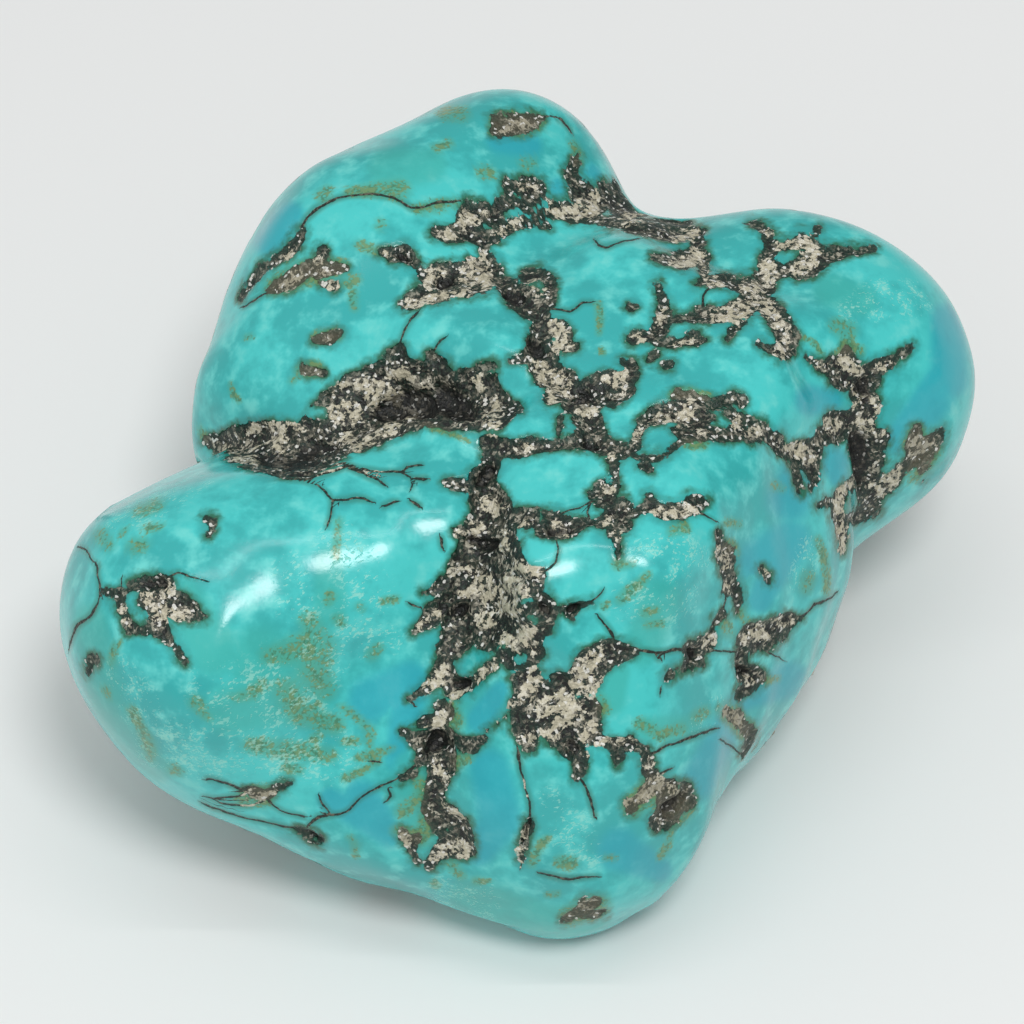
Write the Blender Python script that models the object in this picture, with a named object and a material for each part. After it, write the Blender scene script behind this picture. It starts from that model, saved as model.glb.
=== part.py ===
"""A tumbled turquoise nugget: one solid stone of rounded lobes, with sunken seams of
host rock, open pits and a flat underside that it rests on.

The stone stands on z = 0 with the middle of its box over the origin. +X runs along its
longest side. Every length below is in millimetres, and the finished mesh is in metres.
"""

import bmesh
import bpy
import numpy as np
from mathutils import Vector

MM = 0.001
NODE_NAME = "turquoise_nugget"

# Fineness of the surface: faces along each edge of the cube that the stone starts from.
FACES_PER_EDGE = 28

# Point inside the stone that its whole surface can be seen from.
HEART = (0.0, -2.5, 15.0)
REACH = 46.0          # no part of the stone is further than this from the heart
MARCH_STEPS = 120     # coarse steps inwards along each ray
HALVINGS = 20         # bisections that then settle each point

BLEND = 4.5           # width over which neighbouring masses flow together
TUMBLE_LOSS = 0.35    # skin that tumbling took off all round

# Angular masses. Centre, half size, edge radius, and turn about Z, Y and X in degrees.
BLOCKS = {
    "front_block": ((2.0, -10.9, 15.8), (8.5, 12.0, 13.2), 4.0, (4, 0, -14)),
    "right_block": ((7.5, -2.1, 16.8), (10.5, 11.0, 13.5), 4.5, (-30, -4, 0)),
    "left_arm": ((-16.0, -13.3, 16.8), (11.0, 7.7, 10.2), 5.5, (42, -8, -10)),
    "arm_root": ((-8.8, -10.6, 14.8), (6.0, 8.5, 12.6), 4.5, (-6, 0, -12)),
}

# Round masses. Centre, half size, and turn about Z, Y and X in degrees.
LOBES = {
    "saddle": ((-4.0, 3.0, 16.6), (11.0, 9.0, 13.0), (0, 0, 0)),
    "rear": ((-8.6, 13.2, 19.6), (12.1, 10.2, 11.0), (35, 0, 0)),
    "rear_tip": ((-1.2, 19.6, 20.6), (8.2, 8.8, 8.5), (10, 0, 0)),
    "back": ((8.5, 11.4, 18.5), (8.0, 6.5, 9.0), (0, 0, 0)),
    "rear_shoulder": ((-14.4, 4.0, 16.5), (8.0, 6.8, 9.5), (0, 0, 0)),
    "left_knob": ((-20.0, -11.3, 17.4), (9.7, 9.6, 10.2), (25, 0, 0)),
    "right_knob": ((20.0, 6.9, 17.8), (10.0, 9.6, 10.9), (-20, 0, 0)),
    "right_crown": ((15.0, 11.0, 19.0), (7.0, 6.0, 8.0), (0, 0, 0)),
    "foot": ((2.2, -18.4, 12.0), (9.3, 9.6, 14.5), (0, 0, -14)),
    "belly": ((-7.2, -17.6, 10.0), (10.8, 8.0, 9.6), (6, 0, 0)),
    "flank": ((9.4, -10.1, 13.0), (8.2, 8.2, 13.0), (-30, 0, 0)),
    "hip": ((13.0, -5.1, 14.3), (7.8, 7.2, 10.3), (0, 0, 0)),
    "keel": ((-2.0, 0.5, 8.5), (15.0, 13.0, 10.0), (0, 0, 0)),
}

# Valleys worn between the masses. Two ends of a rod and its radius.
VALLEY_BLEND = 3.0
VALLEYS = {
    "left_groove": ((-27.0, -3.5, 25.5), (-5.0, -3.8, 35.0), 4.0),
    "front_fold": ((-6.0, -30.0, 18.0), (-3.5, -10.6, 34.5), 3.0),
}

# Soft host rock, worn lower than the turquoise. Half width, depth and route of each seam.
SEAMS = {
    "left_groove": (3.0, 1.6, [(-21, 0.5, 19.5), (-17, -3.5, 24), (-13, -4.5, 25.5),
                               (-10, -2, 26.5), (-6, -2, 28.5), (-1.5, -4, 29.5)]),
    "column": (2.2, 0.7, [(-2.5, -8.5, 29), (-2.5, -12, 28.5), (-3.5, -15.5, 26.5),
                          (-4, -19, 23), (-5.5, -21, 20.5), (-5.5, -25, 16), (-5, -26.5, 12)]),
    "lower_patch": (2.6, 0.6, [(-2.5, -17.5, 25.5), (0, -21.5, 24.5), (2.5, -23, 23),
                               (3.5, -24.5, 20.5)]),
    "crevice": (2.2, 1.3, [(18, -1, 29), (21, -0.5, 26), (21.5, -2, 22), (22, -3, 17.5),
                           (19, -3, 9), (13, -2, 2)]),
    "centre": (2.2, 0.6, [(-6, 6.5, 29), (-1.5, 6.5, 28.5), (1, 1, 30), (2, -3, 30),
                          (4.5, -5, 30), (4.5, -8.5, 30)]),
    "top_band": (2.2, 0.5, [(-5, 11.5, 29.5), (-0.5, 14, 28), (5.5, 15.5, 26), (10.5, 12.5, 27)]),
    "star": (1.8, 0.5, [(8.5, 2.5, 30), (12, 2.5, 30), (15, 3.5, 29), (17.5, 8, 28.5),
                        (21.5, 9, 28.5)]),
    "right_band": (1.8, 0.5, [(4.5, -8.5, 30), (7.5, -6.5, 30.5), (12.5, -6, 29.5),
                              (17, -5.5, 25)]),
    "left_patch": (2.2, 0.5, [(-23, -17.5, 26.5), (-20.5, -19.5, 26)]),
    "back_notch": (2.4, 0.8, [(10.5, 12.5, 27), (9, 19, 19), (6, 20, 10), (3, 16, 3)]),
    "left_skirt": (2.2, 0.7, [(-21, 1, 19.5), (-22, 0, 12), (-15, 1, 4)]),
    "rear_vein": (1.8, 0.5, [(-17, 12, 25), (-14, 22, 18), (-10, 20, 9)]),
    "right_vein": (1.8, 0.5, [(26, 6, 24), (29, 10, 15), (22, 14, 9)]),
}

# Open pits in the host rock. Place, radius and depth.
PITS = {
    "column_top": ((-2.8, -12.5, 28.3), 1.7, 0.9),
    "column_foot": ((-5.5, -23.5, 18), 1.7, 1.0),
    "groove_mouth": ((-18.5, -1.5, 22), 1.8, 0.8),
    "crevice": ((21.5, -1, 23), 1.7, 0.9),
    "lower_patch": ((1.5, -22.5, 23.5), 1.6, 0.7),
    "centre": ((1.5, -2, 30), 1.6, 0.7),
    "back_notch": ((8.5, 19, 18), 1.8, 0.9),
}

# Gentle unevenness of a hand-sized pebble: height and wavelength of two crossing waves.
RIPPLES = ((0.22, 13.0), (0.12, 7.0))
RIPPLE_FREE_HEIGHT = 4.0    # ripples and seams fade out over this height above the base

# Clefts whose walls the rays from the heart graze are evened out. A wall counts as
# grazed when the cosine between its normal and the ray is below GRAZED.
GRAZED = 0.55
SOFTENING_PASSES = 8

TURQUOISE_COLOUR = (0.075, 0.47, 0.46, 1.0)
TURQUOISE_ROUGHNESS = 0.22


def turn_matrix(turn_degrees):
    """Rotation about Z, then Y, then X."""
    z_turn, y_turn, x_turn = np.radians(turn_degrees)
    about_z = np.array([[np.cos(z_turn), -np.sin(z_turn), 0],
                        [np.sin(z_turn), np.cos(z_turn), 0],
                        [0, 0, 1]])
    about_y = np.array([[np.cos(y_turn), 0, np.sin(y_turn)],
                        [0, 1, 0],
                        [-np.sin(y_turn), 0, np.cos(y_turn)]])
    about_x = np.array([[1, 0, 0],
                        [0, np.cos(x_turn), -np.sin(x_turn)],
                        [0, np.sin(x_turn), np.cos(x_turn)]])
    return about_z @ about_y @ about_x


def block_depth(points, centre, half_size, edge_radius, turn):
    """Signed distance to a box with rounded edges."""
    local = np.abs((points - np.array(centre)) @ turn_matrix(turn))
    beyond = local - (np.array(half_size) - edge_radius)
    outside = np.linalg.norm(np.maximum(beyond, 0), axis=-1)
    return outside + np.minimum(beyond.max(axis=-1), 0) - edge_radius


def lobe_depth(points, centre, half_size, turn):
    """Signed distance, near enough, to an ellipsoid."""
    local = (points - np.array(centre)) @ turn_matrix(turn)
    half_size = np.array(half_size)
    scaled = np.linalg.norm(local / half_size, axis=-1)
    slope = np.linalg.norm(local / half_size ** 2, axis=-1) + 1e-9
    return scaled * (scaled - 1) / slope


def rod_depth(points, start, end, radius):
    """Signed distance to a rod with round ends."""
    return segment_distance(points, np.array(start), np.array(end)) - radius


def segment_distance(points, start, end):
    """Distance from each point to the straight run from start to end."""
    run = end - start
    share = np.clip((points - start) @ run / (run @ run), 0, 1)
    return np.linalg.norm(points - start - share[..., None] * run, axis=-1)


def join_smoothly(first, second, width):
    """The lesser of two signed distances, with the crease between them filled."""
    share = np.clip(0.5 + 0.5 * (second - first) / width, 0, 1)
    return second * (1 - share) + first * share - width * share * (1 - share)


def stone_depth(points):
    """Signed distance to the stone: below zero inside it."""
    masses = [block_depth(points, *block) for block in BLOCKS.values()]
    masses += [lobe_depth(points, *lobe) for lobe in LOBES.values()]
    depth = masses[0]
    for mass in masses[1:]:
        depth = join_smoothly(depth, mass, BLEND)
    depth = depth + TUMBLE_LOSS
    for valley in VALLEYS.values():
        depth = -join_smoothly(-depth, rod_depth(points, *valley), VALLEY_BLEND)
    return np.maximum(depth, -points[..., 2])


def surface_along(directions):
    """Outermost point of the stone along each ray from its heart."""
    heart = np.array(HEART)
    inner = np.zeros(len(directions))
    outer = np.full(len(directions), REACH)
    found = np.zeros(len(directions), dtype=bool)
    for radius in np.linspace(REACH, 0, MARCH_STEPS):
        inside = stone_depth(heart + directions * radius) < 0
        inner = np.where(inside & ~found, radius, inner)
        found |= inside
        outer = np.where(found, outer, radius)
    for _ in range(HALVINGS):
        middle = (inner + outer) / 2
        inside = stone_depth(heart + directions * middle[:, None]) < 0
        inner = np.where(inside, middle, inner)
        outer = np.where(inside, outer, middle)
    return heart + directions * inner[:, None]


def snap_to_surface(points):
    """Points moved along their rays from the heart onto the stone."""
    directions = np.array(points, dtype=float) - np.array(HEART)
    directions /= np.linalg.norm(directions, axis=1, keepdims=True)
    return surface_along(directions)


def bowl(distance, half_width):
    """Smooth bowl profile: 1 in the middle, 0 at the half width and beyond."""
    return np.clip(1 - (distance / half_width) ** 2, 0, 1) ** 2


def wear_depth(points):
    """How far seams and pits are sunk below the polished surface."""
    worn = np.zeros(len(points))
    for half_width, depth, route in SEAMS.values():
        route = snap_to_surface(route)
        runs = [segment_distance(points, start, end) for start, end in zip(route, route[1:])]
        worn = np.maximum(worn, depth * bowl(np.min(runs, axis=0), half_width))
    for place, radius, depth in PITS.values():
        bottom = snap_to_surface([place])[0]
        worn += depth * bowl(np.linalg.norm(points - bottom, axis=1), radius)
    return worn


def ripple_height(points):
    """Sum of crossing waves, a small swell of the surface."""
    height = np.zeros(len(points))
    for swell, wavelength in RIPPLES:
        phase = points * (2 * np.pi / wavelength)
        height += swell * np.sin(phase[:, 0] + phase[:, 1]) * np.sin(phase[:, 1] - phase[:, 2])
    return height


def starting_cube():
    """A cube primitive cut into an even grid on all six sides."""
    grid = bmesh.new()
    bmesh.ops.create_cube(grid, size=2)
    bmesh.ops.subdivide_edges(grid, edges=grid.edges[:], cuts=FACES_PER_EDGE - 1,
                              use_grid_fill=True)
    return grid


def shape_stone(grid):
    """Move the cube's grid points out to the surface of the stone."""
    cube_points = np.array([vert.co[:] for vert in grid.verts])
    directions = np.tan(cube_points * np.pi / 4)
    directions /= np.linalg.norm(directions, axis=1, keepdims=True)
    points = surface_along(directions)

    fade = np.clip(points[:, 2] / RIPPLE_FREE_HEIGHT, 0, 1)
    shift = fade * (ripple_height(points) - wear_depth(points))
    points = points + directions * shift[:, None]
    flat = points[:, 2] < 0.001
    points[flat, 2] = 0.0
    for vert, point in zip(grid.verts, points * MM):
        vert.co = point


def soften_clefts(grid):
    """Let grazed walls relax towards their neighbours, leaving the flat base as it is."""
    heart = Vector(HEART) * MM
    for _ in range(SOFTENING_PASSES):
        grid.normal_update()
        walls = [vert for vert in grid.verts
                 if vert.co.z > RIPPLE_FREE_HEIGHT * MM
                 and vert.normal.dot((vert.co - heart).normalized()) < GRAZED]
        bmesh.ops.smooth_vert(grid, verts=walls, factor=0.5,
                              use_axis_x=True, use_axis_y=True, use_axis_z=True)


def turquoise_material():
    material = bpy.data.materials.new("polished_turquoise")
    material.use_nodes = True
    shader = material.node_tree.nodes["Principled BSDF"]
    shader.inputs["Base Color"].default_value = TURQUOISE_COLOUR
    shader.inputs["Roughness"].default_value = TURQUOISE_ROUGHNESS
    shader.inputs["Metallic"].default_value = 0.0
    material.diffuse_color = TURQUOISE_COLOUR
    return material


def build_nugget(collection):
    grid = starting_cube()
    shape_stone(grid)
    soften_clefts(grid)
    bmesh.ops.triangulate(grid, faces=grid.faces[:])
    bmesh.ops.recalc_face_normals(grid, faces=grid.faces[:])
    mesh = bpy.data.meshes.new(NODE_NAME)
    grid.to_mesh(mesh)
    grid.free()
    mesh.materials.append(turquoise_material())
    nugget = bpy.data.objects.new(NODE_NAME, mesh)
    collection.objects.link(nugget)
    mesh.shade_smooth()
    return nugget


def main():
    for old in list(bpy.data.objects):
        bpy.data.objects.remove(old, do_unlink=True)
    collection = bpy.data.collections.new("turquoise_nugget_parts")
    bpy.context.scene.collection.children.link(collection)
    build_nugget(collection)


main()
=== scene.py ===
from math import cos, radians, sin
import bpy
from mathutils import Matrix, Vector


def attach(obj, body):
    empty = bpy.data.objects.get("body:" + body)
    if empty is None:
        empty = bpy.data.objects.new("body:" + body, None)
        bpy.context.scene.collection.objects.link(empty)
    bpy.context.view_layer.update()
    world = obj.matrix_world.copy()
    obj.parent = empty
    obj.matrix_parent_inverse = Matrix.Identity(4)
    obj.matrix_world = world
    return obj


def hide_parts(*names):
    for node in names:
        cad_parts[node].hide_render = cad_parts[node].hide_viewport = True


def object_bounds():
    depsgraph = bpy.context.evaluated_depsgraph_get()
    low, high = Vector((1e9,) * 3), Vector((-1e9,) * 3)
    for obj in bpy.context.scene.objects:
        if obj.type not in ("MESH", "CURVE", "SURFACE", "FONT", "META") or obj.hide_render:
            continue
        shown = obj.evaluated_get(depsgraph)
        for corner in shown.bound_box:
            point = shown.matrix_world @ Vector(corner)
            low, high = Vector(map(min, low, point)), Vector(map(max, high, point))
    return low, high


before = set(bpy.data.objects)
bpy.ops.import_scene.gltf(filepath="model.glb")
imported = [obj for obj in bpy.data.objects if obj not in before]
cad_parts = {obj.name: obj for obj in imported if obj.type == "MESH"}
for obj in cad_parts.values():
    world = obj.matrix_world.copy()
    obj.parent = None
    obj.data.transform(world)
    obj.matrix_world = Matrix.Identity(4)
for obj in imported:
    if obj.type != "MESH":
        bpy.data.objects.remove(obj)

from types import SimpleNamespace

import bpy
import numpy as np
from mathutils import Vector

mm = 0.001
cadLow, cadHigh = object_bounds()

scene = bpy.context.scene
scene.view_settings.view_transform = "Standard"

# a long lens looks down on the stone from the front
camera = {
    "target": (-0.95, -2.6, 16.0),   # mm
    "elevation": 50.0,               # degrees above the horizon
    "distance": 270.0,               # mm
    "pixelSize": 0.065,              # mm on the stone that one pixel of the 1024 frame covers
    "framePixels": 1024,
    "sensor": 36.0,
    "clipStart": 0.01,               # m
}
tilt = radians(camera["elevation"])
lookAlong = np.array([0, cos(tilt), -sin(tilt)])
lookUp = np.array([0, sin(tilt), cos(tilt)])
lookRight = np.array([1.0, 0, 0])
eye = np.array(camera["target"]) - lookAlong * camera["distance"]
focalPixels = camera["distance"] / camera["pixelSize"]
halfFrame = camera["framePixels"] / 2


def makeCamera():
    data = bpy.data.cameras.new("camera")
    data.sensor_width = camera["sensor"]
    data.lens = focalPixels / camera["framePixels"] * camera["sensor"]
    data.clip_start = camera["clipStart"]
    viewer = bpy.data.objects.new("camera", data)
    viewer.location = eye * mm
    viewer.rotation_euler = (radians(90) - tilt, 0, 0)
    scene.collection.objects.link(viewer)
    scene.camera = viewer
    print("camera made")


# the stone's form in millimetres, with the same masses as the solid model
form = {
    "sheetCells": 127,               # grid cells along each edge of the six sheets
    "heart": (0.0, -2.5, 15.0),      # inner point that the whole surface can be seen from
    "lean": 0.30,                    # how far the grid is drawn towards the seen side
    "reach": 46.0,                   # no part of the stone is further than this from the heart
    "traceSteps": 28,
    "rayStride": 0.85,               # share of the distance still to go that one step takes
    "sightStride": 0.80,
    "blend": 4.5,
    "tumbleLoss": 0.22,
    "valleyBlend": 3.0,
    "fadeHeight": 4.0,               # ripples and seams fade out this near the base
    "ripples": ((0.22, 13.0), (0.12, 7.0)),   # height and wavelength
    "grazed": 0.55,                  # cosine between wall and ray below which a wall is eased
    "roundingPasses": 40,
    "easingPasses": 200,
    "passesPerLook": 10,             # grazed walls are looked for anew after so many passes
    "roundedBack": ((-20.5, -7.0, 25.0), 7.0),   # place and radius
}
blocks = {   # centre, half size, edge radius, turn about Z, Y, X
    "frontBlock": ((2.0, -10.9, 15.8), (8.5, 12.0, 13.2), 4.0, (4, 0, -14)),
    "rightBlock": ((7.5, -2.1, 16.8), (10.5, 11.0, 13.5), 4.5, (-30, -4, 0)),
    "leftArm": ((-16.0, -13.3, 16.8), (11.2, 7.9, 10.4), 7.2, (42, -8, -10)),
    "armRoot": ((-8.8, -10.6, 14.8), (6.0, 8.5, 12.4), 4.5, (-6, 0, -12)),
}
lobes = {    # centre, half size, turn about Z, Y, X
    "saddle": ((-4.0, 3.0, 16.6), (11.0, 9.0, 13.0), (0, 0, 0)),
    "rear": ((-8.6, 13.2, 19.6), (12.1, 10.2, 11.0), (35, 0, 0)),
    "rearTip": ((-1.4, 19.8, 20.9), (8.2, 8.8, 8.5), (10, 0, 0)),
    "back": ((8.5, 11.4, 18.5), (8.0, 6.5, 9.0), (0, 0, 0)),
    "rearShoulder": ((-14.4, 4.0, 16.5), (8.0, 6.8, 9.5), (0, 0, 0)),
    "leftKnob": ((-20.0, -11.3, 17.4), (9.7, 9.6, 10.2), (25, 0, 0)),
    "rightKnob": ((20.0, 6.9, 17.8), (10.0, 9.6, 10.9), (-20, 0, 0)),
    "rightCrown": ((17.0, 11.2, 19.3), (6.0, 6.0, 8.2), (0, 0, 0)),
    "foot": ((2.2, -18.4, 12.0), (9.3, 9.6, 14.5), (0, 0, -14)),
    "belly": ((-7.2, -17.6, 10.0), (10.8, 8.0, 9.6), (6, 0, 0)),
    "flank": ((9.4, -10.1, 13.0), (8.2, 8.2, 13.0), (-30, 0, 0)),
    "hip": ((13.0, -5.1, 14.3), (7.8, 7.2, 10.3), (0, 0, 0)),
    "keel": ((-2.0, 0.5, 8.5), (15.0, 13.0, 10.0), (0, 0, 0)),
}
valleys = {  # two ends of a rod and its radius
    "leftGroove": ((-27.0, -3.5, 25.5), (-5.0, -3.8, 35.0), 4.0),
    "frontFold": ((-6.0, -30.0, 18.0), (-3.5, -10.6, 34.5), 3.0),
}
seams = {    # half width, depth, route
    "leftGroove": (3.0, 1.6, [(-21, 0.5, 19.5), (-17, -3.5, 24), (-13, -4.5, 25.5),
                               (-10, -2, 26.5), (-6, -2, 28.5), (-1.5, -4, 29.5)]),
    "column": (2.2, 0.7, [(-2.5, -8.5, 29), (-2.5, -12, 28.5), (-3.5, -15.5, 26.5),
                          (-4, -19, 23), (-5.5, -21, 20.5), (-5.5, -25, 16), (-5, -26.5, 12)]),
    "lowerPatch": (2.6, 0.6, [(-2.5, -17.5, 25.5), (0, -21.5, 24.5), (2.5, -23, 23),
                              (3.5, -24.5, 20.5)]),
    "crevice": (2.2, 1.3, [(18, -1, 29), (21, -0.5, 26), (21.5, -2, 22), (22, -3, 17.5),
                           (19, -3, 9), (13, -2, 2)]),
    "centre": (2.2, 0.6, [(-6, 6.5, 29), (-1.5, 6.5, 28.5), (1, 1, 30), (2, -3, 30),
                          (4.5, -5, 30), (4.5, -8.5, 30)]),
    "topBand": (2.2, 0.5, [(-5, 11.5, 29.5), (-0.5, 14, 28), (5.5, 15.5, 26), (10.5, 12.5, 27)]),
    "star": (1.8, 0.5, [(8.5, 2.5, 30), (12, 2.5, 30), (15, 3.5, 29), (17.5, 8, 28.5),
                        (21.5, 9, 28.5)]),
    "rightBand": (1.8, 0.5, [(4.5, -8.5, 30), (7.5, -6.5, 30.5), (12.5, -6, 29.5),
                             (17, -5.5, 25)]),
    "leftPatch": (2.2, 0.5, [(-23, -17.5, 26.5), (-20.5, -19.5, 26)]),
    "backNotch": (2.4, 0.8, [(10.5, 12.5, 27), (9, 19, 19), (6, 20, 10), (3, 16, 3)]),
    "leftSkirt": (2.2, 0.7, [(-21, 1, 19.5), (-22, 0, 12), (-15, 1, 4)]),
    "rearVein": (1.8, 0.5, [(-17, 12, 25), (-14, 22, 18), (-10, 20, 9)]),
    "rightVein": (1.8, 0.5, [(26, 6, 24), (29, 10, 15), (22, 14, 9)]),
}
seamPits = {   # place, radius, depth
    "columnTop": ((-2.8, -12.5, 28.3), 1.7, 0.9),
    "columnFoot": ((-5.5, -23.5, 18), 1.7, 1.0),
    "grooveMouth": ((-18.5, -1.5, 22), 1.8, 0.8),
    "crevice": ((21.5, -1, 23), 1.7, 0.9),
    "lowerPatch": ((1.5, -22.5, 23.5), 1.6, 0.7),
    "centre": ((1.5, -2, 30), 1.6, 0.7),
    "backNotch": ((8.5, 19, 18), 1.8, 0.9),
}


# rotation about Z, then Y, then X
def turnMatrix(turn):
    z, y, x = np.radians(turn)
    aboutZ = np.array([[cos(z), -sin(z), 0], [sin(z), cos(z), 0], [0, 0, 1]])
    aboutY = np.array([[cos(y), 0, sin(y)], [0, 1, 0], [-sin(y), 0, cos(y)]])
    aboutX = np.array([[1, 0, 0], [0, cos(x), -sin(x)], [0, sin(x), cos(x)]])
    return aboutZ @ aboutY @ aboutX


# signed distance to a box with rounded edges
def blockDepth(points, centre, halfSize, edgeRadius, turn):
    beyond = np.abs((points - np.array(centre)) @ turnMatrix(turn))
    beyond = beyond - (np.array(halfSize) - edgeRadius)
    outside = np.linalg.norm(np.maximum(beyond, 0), axis=-1)
    return outside + np.minimum(beyond.max(axis=-1), 0) - edgeRadius


# distance to an ellipsoid: k (k - 1) / slope, with k the scaled radius of the point
def lobeDepth(points, centre, halfSize, turn):
    halfSize = np.array(halfSize)
    local = (points - np.array(centre)) @ turnMatrix(turn)
    scaled = np.linalg.norm(local / halfSize, axis=-1)
    slope = np.linalg.norm(local / halfSize ** 2, axis=-1) + 1e-9
    return scaled * (scaled - 1) / slope


# distance to the straight run from start to end, and how far along it the nearest point is
def runDistance(points, start, end):
    run = end - start
    share = np.clip((points - start) @ run / (run @ run), 0, 1)
    return np.linalg.norm(points - start - share[..., None] * run, axis=-1), share


# the lesser of two distances with the crease between them filled
def joinSmoothly(first, second, width):
    share = np.clip(0.5 + 0.5 * (second - first) / width, 0, 1)
    return second * (1 - share) + first * share - width * share * (1 - share)


# signed distance to the stone: all masses joined, worn, cut by the valleys and by the floor
def stoneDepth(points):
    masses = [blockDepth(points, *block) for block in blocks.values()]
    masses += [lobeDepth(points, *lobe) for lobe in lobes.values()]
    depth = masses[0]
    for mass in masses[1:]:
        depth = joinSmoothly(depth, mass, form["blend"])
    depth = depth + form["tumbleLoss"]
    for start, end, radius in valleys.values():
        rod = runDistance(points, np.array(start), np.array(end))[0] - radius
        depth = -joinSmoothly(-depth, rod, form["valleyBlend"])
    return np.maximum(depth, -points[..., 2])


# rays from the heart are walked inwards, each step as long as the distance still to go
def surfaceAlong(directions):
    heart = np.array(form["heart"])
    radius = np.full(len(directions), form["reach"])
    for step in range(form["traceSteps"]):
        radius = radius - form["rayStride"] * stoneDepth(heart + directions * radius[:, None])
    return heart + directions * radius[:, None]


# the point of the stone seen at each pixel, or the nearest to it on that line of sight
def surfaceSeen(pixels):
    pixels = np.array(pixels, dtype=float)
    across = (pixels[:, :1] - halfFrame) / focalPixels
    above = (halfFrame - pixels[:, 1:2]) / focalPixels
    sight = lookAlong + lookRight * across + lookUp * above
    sight = sight / np.linalg.norm(sight, axis=1, keepdims=True)
    travel = np.full(len(pixels), camera["distance"] - form["reach"])
    nearest, best = np.full(len(pixels), np.inf), travel
    for step in range(2 * form["traceSteps"]):
        depth = stoneDepth(eye + sight * travel[:, None])
        best = np.where(depth < nearest, travel, best)
        nearest = np.minimum(nearest, depth)
        travel = travel + np.maximum(form["sightStride"] * depth, 0)
    return eye + sight * best[:, None]


# six sheets of two parameters wrapped on a sphere, sharing their rims, as unit directions
def sheetGrid(cells):
    spread = np.tan(np.linspace(-1, 1, cells + 1) * np.pi / 4)
    u, v = np.meshgrid(spread, spread, indexing="ij")
    one = np.ones_like(u)
    sheets = [(one, u, v), (-one, v, u), (v, one, u), (u, -one, v), (u, v, one), (v, u, -one)]
    directions = np.concatenate([np.stack(sheet, axis=-1).reshape(-1, 3) for sheet in sheets])
    directions /= np.linalg.norm(directions, axis=1, keepdims=True)
    corner = np.arange((cells + 1) ** 2).reshape(cells + 1, cells + 1)
    quad = np.stack([corner[:-1, :-1], corner[1:, :-1], corner[1:, 1:], corner[:-1, 1:]], axis=-1)
    quads = np.concatenate([quad.reshape(-1, 4) + side * corner.size for side in range(6)])
    keys = np.round(directions, 6) + 0.0
    first, shared = np.unique(keys, axis=0, return_index=True, return_inverse=True)[1:]
    return directions[first], shared.reshape(-1)[quads]


# the same points moved along their rays from the heart onto the stone
def snapToSurface(points):
    directions = np.array(points, dtype=float) - np.array(form["heart"])
    directions /= np.linalg.norm(directions, axis=1, keepdims=True)
    return surfaceAlong(directions)


# smooth bowl: (1 - (distance / half width) squared) squared
def bowl(distance, halfWidth):
    return np.clip(1 - (distance / halfWidth) ** 2, 0, 1) ** 2


# cubic step from 0 at low to 1 at high
def smoothStep(value, low, high):
    share = np.clip((value - low) / (high - low), 0, 1)
    return share * share * (3 - 2 * share)


# least distance to a route of straight runs
def routeDistance(points, route):
    return np.min([runDistance(points, start, end)[0] for start, end in zip(route, route[1:])],
                  axis=0)


# how far seams and pits lie below the polished surface: the deepest bowl, plus the pits
def wearDepth(points):
    worn = np.zeros(len(points))
    for halfWidth, depth, route in seams.values():
        distance = routeDistance(points, snapToSurface(route))
        worn = np.maximum(worn, depth * bowl(distance, halfWidth))
    for place, radius, depth in seamPits.values():
        bottom = snapToSurface([place])[0]
        worn += depth * bowl(np.linalg.norm(points - bottom, axis=1), radius)
    return worn


# sum of waves: height x sin(x + y) x sin(y - z), each over its wavelength
def rippleHeight(points):
    height = np.zeros(len(points))
    for swell, wavelength in form["ripples"]:
        phase = points * (2 * np.pi / wavelength)
        height += swell * np.sin(phase[:, 0] + phase[:, 1]) * np.sin(phase[:, 1] - phase[:, 2])
    return height


# points of the plain form moved along their rays by the ripples less the wear
def weather(points):
    rays = points - np.array(form["heart"])
    rays /= np.linalg.norm(rays, axis=1, keepdims=True)
    fade = np.clip(points[:, 2] / form["fadeHeight"], 0, 1)
    return points + rays * (fade * (rippleHeight(points) - wearDepth(points)))[:, None]


# mean of the faces' normals round each vertex, each the cross product of the diagonals
def vertexNormals(points, quads):
    corners = points[quads]
    faces = np.cross(corners[:, 2] - corners[:, 0], corners[:, 3] - corners[:, 1])
    sums = [np.bincount(quads.ravel(), np.repeat(faces[:, axis], 4)) for axis in range(3)]
    normals = np.stack(sums, axis=-1)
    return normals / np.linalg.norm(normals, axis=1, keepdims=True)


# Every point goes half way to the mean of its neighbours in the first passes, which rounds
# the folds between masses. After that only grazed walls and the left knob's back do.
def easeFolds(points, quads):
    start, end = quads.ravel(), np.roll(quads, -1, axis=1).ravel()
    neighbours = np.bincount(end)[:, None]
    place, radius = form["roundedBack"]
    worn = np.linalg.norm(points - np.array(place), axis=1) < radius
    for step in range(form["easingPasses"]):
        if step < form["roundingPasses"]:
            walls = points[:, 2] > form["fadeHeight"]
        elif step % form["passesPerLook"] == 0:
            rays = points - np.array(form["heart"])
            rays /= np.linalg.norm(rays, axis=1, keepdims=True)
            grazed = np.sum(vertexNormals(points, quads) * rays, axis=1) < form["grazed"]
            walls = (grazed | worn) & (points[:, 2] > form["fadeHeight"])
        sums = [np.bincount(end, points[start, axis]) for axis in range(3)]
        mean = np.stack(sums, axis=-1) / neighbours
        points = np.where(walls[:, None], (points + mean) / 2, points)
    return points


latticeSize = 32        # the lattice repeats after this many cells
latticeShift = 7.3      # cells between the lattices of two seeds


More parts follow.
